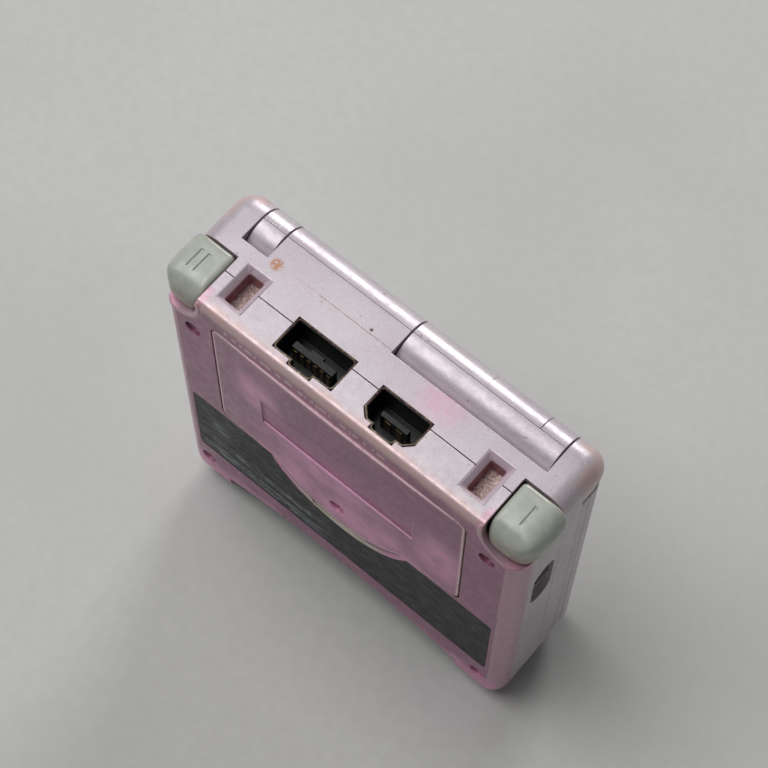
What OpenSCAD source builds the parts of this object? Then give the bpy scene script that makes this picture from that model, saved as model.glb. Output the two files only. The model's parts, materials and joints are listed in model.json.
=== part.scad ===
// Clamshell handheld game console, closed, standing on its front edge.
// Every piece is modelled in the flat frame of use: x to the right, y from the front edge
// to the hinge, z up from the battery face. stand() then turns the whole set upright:
// X to the left-hand side of use, Y from the battery face to the lid, Z up to the hinge.

/* [Overall] */
// Width of the base over its side walls
body_w = 79.6; // [78:0.2:84]
// Length from the front edge to the back of the hinge barrel
body_l = 84.6; // [83.6:0.2:90]
// Thickness of the base from the battery face to the rim of the deck
base_t = 16.5; // [16.1:0.1:18]
// Thickness of the closed lid
lid_t = 7.4; // [7.2:0.1:9]
// Gap between the deck rim and the closed lid
lid_gap = 0.4; // [0.35:0.05:0.8]
// How far each side of the lid is set in from the base
lid_side_inset = 0.3; // [0.1:0.1:1]
// Wall thickness of the casings
wall = 1.4; // [1.3:0.05:1.5]
// Gap shown by the parting lines of the casings
seam = 0.08; // [0.04:0.02:0.2]
// Plan radius of the two front corners
front_corner_r = 8; // [6:0.5:9]
// Radius of the two rear corners, in plan and round the ends of the barrel
rear_corner_r = 3.6; // [3:0.1:4.2]
// Radius of the edge between the front and the battery face
front_edge_r = 6.5; // [4:0.5:7]
// Radius of the edges between the sides and the battery face
side_edge_r = 3.4; // [2:0.2:4]
// Radius of the edge between the rear face and the battery face
rear_edge_r = 1.2; // [0.6:0.2:1.8]
// Radius of the lid's outer edges
lid_edge_r = 3.5; // [2.4:0.1:4]
// Small radius on the other long edges
soft_edge_r = 0.8; // [0.4:0.1:1]
// Height of the casing's parting line along the sides
side_parting_z = 12; // [11.9:0.1:12.6]
// Height of the casing's parting line across the rear face
rear_parting_z = 7.7; // [6.9:0.1:8.3]

/* [Hinge] */
// Radius of the hinge barrel
barrel_r = 5.2; // [5:0.1:5.6]
// Gap between the turning knuckles and the base
knuckle_gap = 0.3; // [0.2:0.05:0.5]
// Width of each ear at the ends of the barrel
ear_w = 6.45; // [6:0.1:8]
// Left end of the fixed middle part of the barrel
mid_barrel_x = -0.15; // [-4:0.1:2]
// Width of the fixed middle part of the barrel
mid_barrel_w = 27.65; // [26:0.1:29]
// Depth of the rear sill below the hinge axis
sill_drop = 4.85; // [4.6:0.05:5]
// Height of the barrel's seam above the hinge axis
seam_rise = 0.45; // [0.3:0.05:0.8]
// Length of the cap at the end of the long knuckle
end_cap_w = 5.3; // [4:0.1:8]
// Radius of the hinge pins
pin_r = 1.5; // [1.2:0.1:1.7]
// Running clearance round the hinge pins
pin_clearance = 0.05; // [0.02:0.01:0.09]
// Radius of the click unit
click_r = 3.2; // [2.8:0.1:3.4]
// Length of the click unit
click_len = 14; // [10:0.5:16]
// Wall of the hollow barrel
barrel_wall = 1.2; // [1:0.1:1.4]
// Depth of the pins in the ears
pin_in_ear = 5.2; // [4:0.1:5.4]
// Depth of the right pin in the middle barrel
pin_in_barrel = 5.4; // [4:0.1:6]

/* [Deck] */
// Width of the raised rim round the deck
rim_w = 3.8; // [3:0.1:4.4]
// Depth of the deck below its rim
deck_sink = 1.1; // [0.9:0.1:1.3]
// Thickness of the deck
deck_t = 1.2; // [1:0.1:1.4]
// Distance from the hinge axis to the rear end of the sunk deck
deck_rear = 8.4; // [8:0.1:10]

/* [Board] */
// Height of the cartridge bay
bay_h = 9; // [8.8:0.1:9.2]
// Thickness of the main board
board_t = 1; // [0.8:0.1:1.2]
// Gap between the board and the side walls
board_side_gap = 1.9; // [1.8:0.1:2.4]
// Distance from the front edge to the board
board_front = 5; // [4:0.5:7]
// Gap between the board and the rear wall
board_rear_gap = 0.4; // [0.3:0.1:0.8]
// Thickness of the chips
chip_t = 1; // [0.8:0.1:1.2]

/* [Cartridge bay] */
// Distance from the side to the cartridge slot
slot_side = 10.8; // [10.4:0.1:11.2]
// Depth of the bay to the connector
bay_depth = 32; // [30:0.5:33]
// Thickness of the walls beside the bay
bay_wall = 1; // [0.8:0.1:1.2]
// Depth of the finger cut-out in the battery face, at its middle
finger_cut = 11.8; // [8:0.2:13]
// Radius of the finger cut-out's long edge
finger_cut_r = 110; // [90:5:160]
// How far the connector is set in from the sides of the slot
connector_in = 2; // [1:0.1:4]
// Depth of the cartridge connector
connector_d = 5.6; // [4.6:0.1:5.8]
// Clearance between the connector and the ledge below it
connector_rise = 0.3; // [0.2:0.1:0.5]

/* [Battery] */
// Distance from the side to the battery cover
cover_side = 11.7; // [11.3:0.1:12.6]
// Distance from the rear face to the cover
cover_rear = 6.2; // [5.8:0.1:6.6]
// Distance from the front edge to the cover without its tongue
cover_front = 42.7; // [42:0.1:43]
// Thickness of the cover
cover_t = 1.2; // [1:0.05:1.25]
// How far the old cover bows outward at its middle
cover_bulge = 0.5; // [0.2:0.1:0.8]
// Radius of the cover's tongue
tongue_r = 18.1; // [16:0.1:20]
// Length of the cover's tongue
tongue_l = 7.4; // [7:0.1:7.8]
// Corner radius of the cover
cover_corner_r = 1.6; // [1:0.1:3]
// Gap round the cover
cover_gap = 0.25; // [0.15:0.05:0.4]
// Distance from the cover's side to the bare recess for a name plate
plate_in = 10.7; // [8:0.1:13]
// Length of that recess
plate_l = 9; // [7:0.2:11]
// Distance from the cover's rear edge to that recess
plate_rear = 14.5; // [12:0.5:18]
// Depth of that recess
plate_depth = 0.1; // [0.05:0.05:0.3]
// How far the battery is set in from the sides of its cover
battery_in = 3.6; // [3.1:0.1:6]
// Distance from the cover's front edge to the battery
battery_front = 3.2; // [3:0.1:6]
// Thickness of the battery
battery_t = 5.6; // [4.6:0.1:5.8]
// Clearance round the battery
battery_gap = 0.3; // [0.2:0.1:0.5]
// Distance from the rear face to the battery
battery_rear = 9.8; // [9.6:0.1:10.4]
// Wall of the battery box
box_wall = 1; // [0.8:0.1:1.2]
// Thickness of the ledge that carries the cover
ledge_t = 1; // [0.8:0.1:1.2]
// Distance from the cover screw to the tip of the tongue
cover_screw_in = 6.4; // [6:0.1:7]

/* [Screws] */
// Radius of the casing screws' heads
screw_head_r = 1.6; // [1.4:0.1:1.7]
// Radius of the screws' shanks
shank_r = 0.8; // [0.7:0.05:0.9]
// Depth of a screw head below the battery face
screw_sink = 0.6; // [0.4:0.1:1]
// Height of a screw head
screw_head_h = 1; // [0.8:0.1:1.2]
// Radius of the screw bosses
boss_r = 2.6; // [2.4:0.1:2.8]
// Clearance round the screws
screw_gap = 0.1; // [0.05:0.05:0.2]
// Distance from the side to the rear screws
rear_screw_side = 6.8; // [6.4:0.1:7.2]
// Distance from the rear face to the rear screws
rear_screw_in = 12.9; // [12.7:0.1:14]
// Distance from the side to the front screws
front_screw_side = 5.4; // [5.2:0.1:6]
// Distance from the front edge to the front screws
front_screw_in = 11.3; // [10.6:0.1:13]

/* [Label] */
// Distance from the side to the black label
label_side = 3.9; // [3.8:0.1:8]
// Distance from the front edge to the label
label_front = 17.1; // [16:0.1:19]
// Gap between the label and the cover without its tongue
label_gap = 1.7; // [0.6:0.1:3]
// Thickness of the label
label_t = 0.1; // [0.06:0.02:0.14]
// Distance between the tongue and the label's curved edge
label_tongue_gap = 4.3; // [3.4:0.1:5]
// Width of the finger scoop below the tongue
scoop_w = 13; // [10:0.5:16]
// Depth of the finger scoop
scoop_depth = 0.5; // [0.3:0.1:0.7]

/* [Ports] */
// Distance from the middle to the link port
link_x = 3.4; // [3:0.1:4]
// Width of the link port
link_w = 12.1; // [11:0.1:13]
// Width of the power port
power_w = 10.1; // [9.4:0.1:11]
// Distance from the middle to the power port
power_x = 3.4; // [3:0.1:4]
// Height of the lower edge of both ports
port_z = 2.75; // [2.6:0.05:3]
// Height of the link port
link_h = 6.2; // [5.8:0.1:6.4]
// Height of the power port
power_h = 5.7; // [5.2:0.1:6]
// Corner cut of the power port
power_cut = 1.5; // [1:0.1:2]
// Width of the key notch under both ports
key_w = 4.2; // [3:0.1:5]
// Depth of the key notch under both ports
key_h = 0.95; // [0.6:0.05:1]
// Wall of the port housings where they pass the casing
port_lip = 0.35; // [0.25:0.05:0.4]
// Gap between the port housings and the casing
port_gap = 0.1; // [0.06:0.02:0.2]
// Wall of the port housings behind the casing
port_wall = 1.4; // [1:0.1:1.6]
// Depth of the ports
port_depth = 6.4; // [5:0.1:6.8]
// Depth of the housings' rims below the rear face
port_sink = 0.25; // [0.1:0.05:0.5]
// Thickness of the tongues inside the ports
port_tongue_t = 1.3; // [1:0.1:1.6]
// Height of the tongues above the ports' lower edges
port_tongue_z = 2.2; // [2:0.1:2.4]
// Depth of the tongues below the rear face
port_tongue_sink = 1.6; // [1:0.1:2.5]

/* [Hook pockets] */
// Distance from the side to the hook pockets' inner edges
pocket_side = 15.6; // [15.4:0.1:16.2]
// Width of the hook pockets
pocket_w = 4.5; // [4.4:0.1:4.8]
// Height of the hook pockets' lower edge
pocket_z = 3.5; // [3.2:0.1:3.8]
// Height of the hook pockets
pocket_h = 7.4; // [6.2:0.1:7.5]
// Depth of the hook pockets
pocket_depth = 4.6; // [4.5:0.1:4.8]
// Bevel round their mouths
pocket_bevel = 0.55; // [0.3:0.05:0.8]
// Wall round the hook pockets
pocket_wall = 0.8; // [0.7:0.1:1]

/* [Shoulder buttons] */
// Distance from the side wall to the inner edge of a shoulder button
shoulder_in = 8.1; // [7.9:0.1:8.6]
// Distance from the rear face to the lower edge of a shoulder button
shoulder_l = 8; // [7.8:0.1:8.6]
// How far a shoulder button stands out from the side
shoulder_proud = 1.2; // [0.8:0.1:1.4]
// Height of the shoulder buttons' lower face
shoulder_z = 0.2; // [0.1:0.1:0.6]
// Height of the shoulder buttons
shoulder_h = 10.6; // [10:0.1:10.8]
// Plan radius of the shoulder buttons' inner corner
shoulder_corner_r = 6; // [4:0.5:6.5]
// Plan radius of the shoulder buttons' outer corners
shoulder_outer_r = 3.8; // [3:0.1:4]
// Radius of the shoulder buttons' outer edge at the battery face
shoulder_edge_r = 5; // [4:0.1:5.4]
// Radius of the shoulder buttons' rear and lower edges at the battery face
shoulder_end_r = 3.6; // [3:0.1:3.8]
// Gap round the shoulder buttons
shoulder_gap = 0.35; // [0.3:0.05:0.5]
// Gap that a shoulder button closes when pressed
shoulder_travel_gap = 0.85; // [0.75:0.05:1]
// Distance of the shoulder pivot inside the button's inner edge
shoulder_pivot_in = 1.9; // [1.8:0.1:2]
// Distance of the shoulder pivot from the button's lower edge
shoulder_pivot_up = 0.9; // [0.8:0.1:1]
// Radius of the shoulder buttons' pivot bosses
shoulder_boss_r = 1.7; // [1.5:0.1:1.8]
// Room for the springs below the pivot bosses
spring_room = 2; // [1.8:0.1:2.4]
// Radius of the shoulder pins
shoulder_pin_r = 0.8; // [0.6:0.05:0.9]
// Depth of the engraved numerals
mark_depth = 0.25; // [0.15:0.05:0.4]
// Height of the shoulder switches
switch_h = 3.5; // [3:0.1:4]

/* [Sliders] */
// Distance from the rear face to the middle of the sliders' recesses
slider_rear = 29.2; // [28:0.2:32]
// Height of the sliders' middle
slider_z = 8.3; // [8.2:0.1:8.5]
// Length of the volume recess
volume_l = 14.6; // [13.6:0.2:16]
// Travel of the volume slider
volume_travel = 8; // [6:0.5:8.5]
// Length of the power recess
power_recess_l = 11; // [10:0.2:13]
// Travel of the power slider
power_travel = 3; // [2:0.5:4]
// Height of both recesses
recess_h = 5.6; // [5:0.2:5.8]
// Depth of both recesses
recess_depth = 1.5; // [1.2:0.1:1.6]
// Thickness of the recess floors
recess_floor = 1.2; // [1:0.1:1.3]
// Length of the slider knobs
knob_l = 4.4; // [4:0.1:5]
// Height of the slider knobs
knob_h = 3.6; // [3:0.1:4]
// How far the knobs stand above their recess floors
knob_rise = 1.3; // [0.9:0.1:1.4]
// Gap round the sliding pieces
slider_gap = 0.2; // [0.15:0.05:0.3]
// Height of the slots for the sliders' stems
stem_h = 1.2; // [1:0.1:1.4]

/* [Controls] */
// Distance from the side to the middle of the direction pad
dpad_side = 13.8; // [13.4:0.1:14.2]
// Distance of the direction pad from the front edge
dpad_y = 47; // [45:0.5:49]
// Span of the direction pad
dpad_span = 20; // [19:0.2:20.4]
// Width of the direction pad's arms
dpad_arm = 6.8; // [6:0.1:7.4]
// Depth below the deck that the direction pad rocks in
dpad_play = 0.85; // [0.8:0.05:0.9]
// Thickness of the flange under the direction pad
dpad_flange_t = 0.8; // [0.7:0.05:0.85]
// Height of the direction pad and the small buttons above the deck
low_rise = 0.6; // [0.5:0.05:0.65]
// Clearance round the direction pad
dpad_gap = 0.45; // [0.4:0.05:0.6]
// Distance from the side to the middle of the first round button
a_side = 9.3; // [8.8:0.1:9.6]
// Distance of the first round button from the front edge
a_y = 52; // [50:0.5:54]
// Distance from the side to the middle of the second round button
b_side = 21.3; // [21:0.1:22.8]
// Distance of the second round button from the front edge
b_y = 45.5; // [44:0.5:47]
// Radius of the two round buttons
ab_r = 4.6; // [4.2:0.1:4.8]
// Travel of the two round buttons
ab_travel = 1; // [0.7:0.1:1.05]
// Distance of the two pill buttons from the middle
pill_x = 7; // [6.6:0.1:8]
// Distance of the two pill buttons from the front edge
pill_y = 16; // [14:0.5:18]
// Length of the two pill buttons
pill_l = 6; // [5:0.2:7]
// Width of the two pill buttons
pill_w = 2.8; // [2.4:0.1:3.2]
// Distance of the light button from the hinge axis
light_in = 13.4; // [12.8:0.1:15]
// Radius of the light button
light_r = 2.6; // [2.2:0.1:3]
// Travel of the small buttons
small_travel = 0.5; // [0.3:0.1:0.6]
// Clearance round the buttons
button_gap = 0.2; // [0.15:0.05:0.3]
// Width of the flanges that keep the buttons in
flange_w = 0.8; // [0.6:0.1:0.9]
// Thickness of those flanges
flange_t = 0.7; // [0.6:0.1:0.8]
// Clearance between the lid and the tallest buttons
button_lid_gap = 0.4; // [0.35:0.05:0.5]
// Thickness of the rubber mats' flat parts
mat_t = 0.4; // [0.3:0.05:0.45]

/* [Speaker and lamps] */
// Distance of the speaker from the front edge
speaker_y = 42; // [39:0.5:45]
// Radius of the speaker
speaker_r = 9; // [8:0.2:9.4]
// Thickness of the speaker
speaker_t = 2.4; // [2:0.1:2.6]
// Width of the sound slots
sound_slot_w = 1; // [0.8:0.1:1.2]
// Length of the light pipes seen at the side
lamp_l = 2.4; // [1.8:0.1:3]
// Height of the light pipes
lamp_h = 1.3; // [1:0.1:1.6]
// Distance from the rear face to the first light pipe
lamp_rear = 16.6; // [16.4:0.1:18]
// Spacing of the two light pipes
lamp_pitch = 4; // [3.6:0.1:5]

/* [Lid] */
// Thickness of the lid's inner casing
lid_plate_t = 1.8; // [1.7:0.1:2]
// Distance from the side to the screen lens
lens_side = 6.8; // [6.3:0.1:8.8]
// Distance from the lid's front edge to the lens
lens_front = 14; // [13.4:0.1:16]
// Distance from the lid's rear edge to the lens
lens_rear = 13.9; // [13.4:0.1:16]
// Thickness of the screen lens
lens_t = 0.8; // [0.6:0.1:1]
// Depth of the lens below the lid's inner face
lens_sink = 0.2; // [0.1:0.05:0.3]
// Clearance round the lens
lens_gap = 0.15; // [0.1:0.05:0.3]
// Width of the ledge behind the lens
lens_ledge = 2.4; // [2:0.1:3]
// Thickness of the light guide
guide_t = 1; // [0.8:0.1:1.2]
// Width of the rubber frame round the light guide
gasket_w = 1.8; // [1.4:0.1:2]
// Thickness of the display panel
panel_t = 2.2; // [1.8:0.1:2.4]
// Gap between stacked display pieces
stack_gap = 0.05; // [0.03:0.01:0.1]
// Radius of the rubber pads
pad_r = 2.3; // [2:0.1:2.4]
// How far the rubber pads stand out of the lid
pad_proud = 0.25; // [0.1:0.05:0.3]
// Depth of the pads' seats
pad_seat = 0.6; // [0.5:0.05:0.65]
// Distance from the front edge to the front pads
front_pad_in = 6.8; // [6:0.1:7.2]
// Distance from the side to the front pads
front_pad_side = 6; // [5.6:0.1:8]
// Distance from the hinge axis to the rear pads
rear_pad_in = 12.4; // [11.4:0.1:12.6]
// Distance from the side to the rear pads
rear_pad_side = 4.6; // [4.4:0.1:6]
// Radius of the lid screws' heads
lid_head_r = 1.5; // [1.3:0.1:1.6]
// Height of the lid screws' heads
lid_head_h = 0.6; // [0.5:0.05:0.65]
// Width of the display ribbon
ribbon_w = 10; // [8:0.5:12]
// Distance from the long knuckle's inner end to the display ribbon
ribbon_in = 4.6; // [3:0.1:8]
// Thickness of the display ribbon
ribbon_t = 0.15; // [0.1:0.05:0.2]

/* [Hidden] */
$fn = 48;

// Colours
shell_pink = [0.80, 0.68, 0.76];
inner_pink = [0.74, 0.60, 0.69];
button_sage = [0.66, 0.69, 0.62];
black_plastic = [0.05, 0.05, 0.06];
label_black = [0.10, 0.11, 0.12];
board_green = [0.10, 0.32, 0.20];
contact_gold = [0.80, 0.66, 0.34];
steel = [0.66, 0.67, 0.69];
rubber_grey = [0.42, 0.43, 0.44];
lamp_white = [0.85, 0.85, 0.82];
lens_clear = [0.25, 0.28, 0.30, 0.6];
panel_grey = [0.30, 0.33, 0.34];
cell_grey = [0.32, 0.33, 0.36];
ribbon_amber = [0.74, 0.45, 0.16];

// Working margins
over = 1;
hair = 0.05;
piece_gap = 0.3;
least_r = 0.3;

// Overall heights
total_t = base_t + lid_gap + lid_t;
half_w = body_w / 2;
lid_z = base_t + lid_gap;
deck_z = base_t - deck_sink;
deck_under = deck_z - deck_t;
board_z = wall + bay_h;
board_top = board_z + board_t;

// Hinge
hinge_y = body_l - barrel_r;
hinge_z = total_t - barrel_r;
sill_z = hinge_z - sill_drop;
barrel_seam_z = hinge_z + seam_rise;
hollow_r = barrel_r - barrel_wall;
ear_x = half_w - ear_w;
mid_end_x = mid_barrel_x + mid_barrel_w;
block_y = hinge_y - barrel_r;
long_x0 = -ear_x + knuckle_gap;
long_x1 = mid_barrel_x - knuckle_gap;
short_x0 = mid_end_x + knuckle_gap;
short_x1 = ear_x - knuckle_gap;
recess_r = barrel_r + knuckle_gap;
block_wall = 1.2;
click_x0 = long_x0 + block_wall;
fixed_clearance = 0.02;
hollow_x1 = mid_end_x - pin_in_barrel - pin_clearance;

// Shoulder buttons: plan limits on the right-hand side
shoulder_x0 = half_w - shoulder_in;
shoulder_y0 = body_l - shoulder_l;
shoulder_top = shoulder_z + shoulder_h;
shoulder_pivot_x = shoulder_x0 - shoulder_pivot_in;
shoulder_pivot_y = shoulder_y0 + shoulder_pivot_up;
shoulder_boss_z0 = wall + spring_room;
shoulder_boss_z1 = board_z - shoulder_gap;
parting_step_y = shoulder_y0 - shoulder_travel_gap;
mark_w = 0.6;
mark_l = 4;
mark_pitch = 1.6;
switch_w = 2.3;
switch_l = 2;

// Battery cover and box
cover_y1 = body_l - cover_rear;
cover_y0 = cover_front;
cover_w = body_w - 2 * cover_side;
plate_w = cover_w - 2 * plate_in;
slot_w = body_w - 2 * slot_side;
connector_w = slot_w - 2 * connector_in;
label_w = body_w - 2 * label_side;
label_l = cover_y0 - label_gap - label_front;
tongue_tip_y = cover_y0 - tongue_l;
cover_recess = cover_t + 0.05;
ledge_z = cover_recess;
ledge_top = ledge_z + ledge_t;
ledge_grip = 0.5;
cover_screw_y = tongue_tip_y + cover_screw_in;
battery_y1 = body_l - battery_rear;
battery_y0 = cover_y0 + battery_front;
battery_w = cover_w - 2 * battery_in;
battery_z = cover_recess + 0.25;
box_roof_z = battery_z + battery_t + battery_gap;
bow_steps = 24;
leaf_w = 2;
leaf_pitch = 6;
cover_head_h = 0.6 * screw_head_h;
cover_head_top = cover_t - screw_head_h / 2;

// Screws
rear_screw_x = half_w - rear_screw_side;
rear_screw_y = body_l - rear_screw_in;
front_screw_x = half_w - front_screw_side;
cross_l = 1.2 * screw_head_r;
cross_w = 0.3 * screw_head_r;

// Sliders
slider_y = body_l - slider_rear;
groove_w = 0.4;
groove_pitch = 1;
housing_d = 3;
channel_d = 1.3;
housing_end = 2;
recess_face_x = half_w - recess_depth;
recess_back_x = recess_face_x - recess_floor;
pocket_y0 = body_l - pocket_depth;
pocket_x = half_w - pocket_side;

// Controls
light_y = hinge_y - light_in;
dpad_x = half_w - dpad_side;
a_x = half_w - a_side;
b_x = half_w - b_side;
dpad_under = deck_under - dpad_play - dpad_flange_t;
dpad_flange_r = dpad_span / 2 + flange_w;
button_top = lid_z - button_lid_gap;
low_top = deck_z + low_rise;
flange_top = deck_under - 0.1;
flange_bottom = flange_top - flange_t;
dome_gap = 0.1;
dpad_dish_r = 3;
dpad_post_r = 1;
dpad_dome_r = 2;
dish_factor = 6;

// Lid stack, from the inner face outward
lid_half_w = half_w - lid_side_inset;
lid_cavity_z = lid_z + lid_plate_t;
lid_end_y = block_y - knuckle_gap;
lens_z = lid_z + lens_sink;
lens_w = body_w - 2 * lens_side;
lens_l = lid_end_y - lens_front - lens_rear;
screen_y = lens_front + lens_l / 2;
guide_z = lid_cavity_z + stack_gap;
panel_z = guide_z + guide_t + stack_gap;
panel_w = lens_w + 2 * gasket_w + 2 * lens_gap;
panel_l = lens_l + 2 * gasket_w + 2 * lens_gap;
lid_inside_z = total_t - wall;
ribbon_z = panel_z + panel_t + stack_gap;
ribbon_r = ribbon_z - hinge_z;
ribbon_x = long_x1 - ribbon_in - ribbon_w;
front_pad_x = half_w - front_pad_side;
rear_pad_x = half_w - rear_pad_side;
rear_pad_y = hinge_y - rear_pad_in;
PAD_SPOTS = [
    [-front_pad_x, front_pad_in], [0, front_pad_in], [front_pad_x, front_pad_in],
    [-rear_pad_x, rear_pad_y], [rear_pad_x, rear_pad_y],
];
// Chips: middle x, middle y, half width and half length
CHIPS = [
    [-19, body_l - 21.1, 6, 5], [15, body_l - 22.6, 5, 4], [-20, 27, 4, 4], [22, 26, 5, 5],
];
SCREW_SPOTS = [
    [-rear_screw_x, rear_screw_y], [rear_screw_x, rear_screw_y],
    [-front_screw_x, front_screw_in], [front_screw_x, front_screw_in],
];

// ---------------------------------------------------------------- placing and outlines

// Turns the flat frame of use upright on the front edge
module stand() {
    translate([0, -(total_t - cover_bulge) / 2, 0]) rotate([90, 0, 180]) children();
}

// Extrudes a (y, z) profile from x0 to x1
module along_x(x0, x1) {
    translate([x0, 0, 0]) rotate([90, 0, 90]) linear_extrude(x1 - x0) children();
}

// Extrudes an (x, z) profile from y0 to y1
module along_y(y0, y1) {
    translate([0, y1, 0]) rotate([90, 0, 0]) linear_extrude(y1 - y0) children();
}

// Extrudes an (x, y) outline from z0 to z1
module along_z(z0, z1) {
    translate([0, 0, z0]) linear_extrude(z1 - z0) children();
}

// Box between two corners
module block(low, high) {
    translate(low) cube(high - low);
}

// Cylinder along x about a (y, z) centre
module rod_x(y, z, r, x0, x1) {
    translate([x0, y, z]) rotate([0, 90, 0]) cylinder(h = x1 - x0, r = r);
}

// Cylinder along z about an (x, y) centre
module rod_z(x, y, r, z0, z1) {
    translate([x, y, z0]) cylinder(h = z1 - z0, r = r);
}

// Rectangle with its own radius at each corner: low-left, low-right, high-right, high-left
module round4(x0, y0, x1, y1, r) {
    polygon([
        [x0 + r[0], y0], [x1 - r[1], y0], [x1, y0 + r[1]], [x1, y1 - r[2]],
        [x1 - r[2], y1], [x0 + r[3], y1], [x0, y1 - r[3]], [x0, y0 + r[0]],
    ]);
    translate([x0 + r[0], y0 + r[0]]) circle(r[0]);
    translate([x1 - r[1], y0 + r[1]]) circle(r[1]);
    translate([x1 - r[2], y1 - r[2]]) circle(r[2]);
    translate([x0 + r[3], y1 - r[3]]) circle(r[3]);
}

// Outline of a pill of length l and width w about the origin, along x
module pill(l, w) {
    square([l - w, w], center = true);
    for (side = [-1, 1]) translate([side * (l - w) / 2, 0]) circle(w / 2);
}

// Both halves of a symmetric set
module both_sides() {
    children();
    mirror([1, 0, 0]) children();
}

// ---------------------------------------------------------------- forms of the two casings

// What a corner of plan radius r loses where an edge of radius e goes round it
module corner_trim(r, e) {
    difference() {
        translate([-over, -over, -over]) cube([r + over, r + over, e + over]);
        translate([r, r, 0]) rotate_extrude() intersection() {
            round4(-r, 0, r, e + 2 * over, [e, e, least_r, least_r]);
            square([r, e + over]);
        }
    }
}

// Base block, set in by i on every side, with its rounded edges
module base_form(i) {
    difference() {
        base_block(i);
        both_sides() translate([-half_w + i, i, i]) corner_trim(front_corner_r - i, side_edge_r - i);
    }
}

// The same block with plain front corners
module base_block(i) {
    rf = front_corner_r - i;
    rr = max(rear_corner_r - i, least_r);
    intersection() {
        along_z(i, base_t - i)
            round4(-half_w + i, i, half_w - i, body_l - i, [rf, rf, rr, rr]);
        along_y(-over, body_l + over)
            round4(-half_w + i, i, half_w - i, base_t + over,
                [side_edge_r - i, side_edge_r - i, soft_edge_r, soft_edge_r]);
        along_x(-half_w - over, half_w + over)
            round4(i, i, body_l - i, base_t + over,
                [front_edge_r - i, max(rear_edge_r - i, least_r), soft_edge_r, soft_edge_r]);
    }
}

// Hollow of the base between the battery face and the deck
module base_hollow() {
    intersection() {
        base_form(wall);
        block([-body_w, 0, wall], [body_w, body_l, deck_under]);
    }
}

// Region below the casing's parting line
module below_parting() {
    along_x(-body_w, body_w)
        polygon([
            [-over, -over], [body_l + over, -over], [body_l + over, rear_parting_z],
            [parting_step_y, rear_parting_z], [parting_step_y, side_parting_z],
            [-over, side_parting_z],
        ]);
}

// Region above the parting line, with the seam's gap
module above_parting() {
    along_x(-body_w, body_w)
        polygon([
            [-over, side_parting_z + seam], [parting_step_y + seam, side_parting_z + seam],
            [parting_step_y + seam, rear_parting_z + seam],
            [body_l + over, rear_parting_z + seam], [body_l + over, total_t + over],
            [-over, total_t + over],
        ]);
}

// Hinge barrel over the whole width, with rounded ends
module round_barrel() {
    r = rear_corner_r;
    translate([0, hinge_y, hinge_z]) rotate([0, 90, 0]) rotate_extrude() intersection() {
        round4(-barrel_r, -half_w, barrel_r, half_w, [r, r, r, r]);
        translate([0, -half_w]) square([barrel_r, body_w]);
    }
}

// Space swept by the lid's knuckles between x0 and x1
module knuckle_space(x0, x1) {
    rod_x(hinge_y, hinge_z, recess_r, x0, x1);
    block([x0, hinge_y, sill_z], [x1, body_l + over, total_t + over]);
    block([x0, block_y - over, base_t], [x1, body_l + over, total_t + over]);
}

// Lid slab with its rounded outer edges and front corners, set in by i
module lid_form(i) {
    difference() {
        lid_slab(i);
        both_sides() translate([-lid_half_w + i, i, total_t - i]) mirror([0, 0, 1])
            corner_trim(front_corner_r - i, lid_edge_r - i);
    }
}

// The same slab with plain front corners
module lid_slab(i) {
    rf = front_corner_r - i;
    rr = max(soft_edge_r - i, least_r);
    intersection() {
        along_z(lid_z, total_t - i)
            round4(-lid_half_w + i, i, lid_half_w - i, lid_end_y - i, [rf, rf, rr, rr]);
        along_y(-over, body_l)
            round4(-lid_half_w + i, lid_z, lid_half_w - i, total_t - i,
                [soft_edge_r, soft_edge_r, lid_edge_r - i, lid_edge_r - i]);
        along_x(-half_w, half_w)
            round4(i, lid_z, body_l, total_t - i,
                [soft_edge_r, soft_edge_r, soft_edge_r, lid_edge_r - i]);
    }
}

// One lid knuckle with the neck that joins it to the slab
module knuckle(x0, x1) {
    rod_x(hinge_y, hinge_z, barrel_r, x0, x1);
    block([x0, lid_end_y - wall, lid_z], [x1, hinge_y, total_t]);
}

// Bores for the click unit, pins and ribbon inside the knuckles
module knuckle_bores() {
    rod_x(hinge_y, hinge_z, click_r + pin_clearance, click_x0, click_x0 + click_len + pin_clearance);
    rod_x(hinge_y, hinge_z, pin_r + pin_clearance, long_x0 - over, click_x0 + over);
    rod_x(hinge_y, hinge_z, hollow_r, click_x0 + click_len + block_wall, long_x1 - barrel_wall);
    rod_x(hinge_y, hinge_z, pin_r + pin_clearance, short_x0 - over, short_x1 + over);
    block([ribbon_x - lens_gap, lid_end_y - 2 * wall, ribbon_z - lens_gap],
        [ribbon_x + ribbon_w + lens_gap, hinge_y, ribbon_z + ribbon_t + lens_gap]);
}

// Lid solid with its hollow for the display
module lid_body() {
    difference() {
        union() {
            lid_form(0);
            knuckle(long_x0, long_x1);
            knuckle(short_x0, short_x1);
        }
        intersection() {
            lid_form(wall);
            block([-body_w, 0, lid_cavity_z], [body_w, body_l, lid_inside_z]);
        }
        knuckle_bores();
    }
}

// ---------------------------------------------------------------- battery cover outline

// Cover outline grown by g: a rounded rectangle and a tongue bounded by one arc
module cover_outline(g) {
    r = cover_corner_r + g;
    round4(-cover_w / 2 - g, cover_y0 - g, cover_w / 2 + g, cover_y1 + g, [r, r, r, r]);
    intersection() {
        translate([0, tongue_tip_y + tongue_r]) circle(tongue_r + g);
        translate([-tongue_r, tongue_tip_y - g]) square([2 * tongue_r, 2 * tongue_l]);
    }
}

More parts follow.
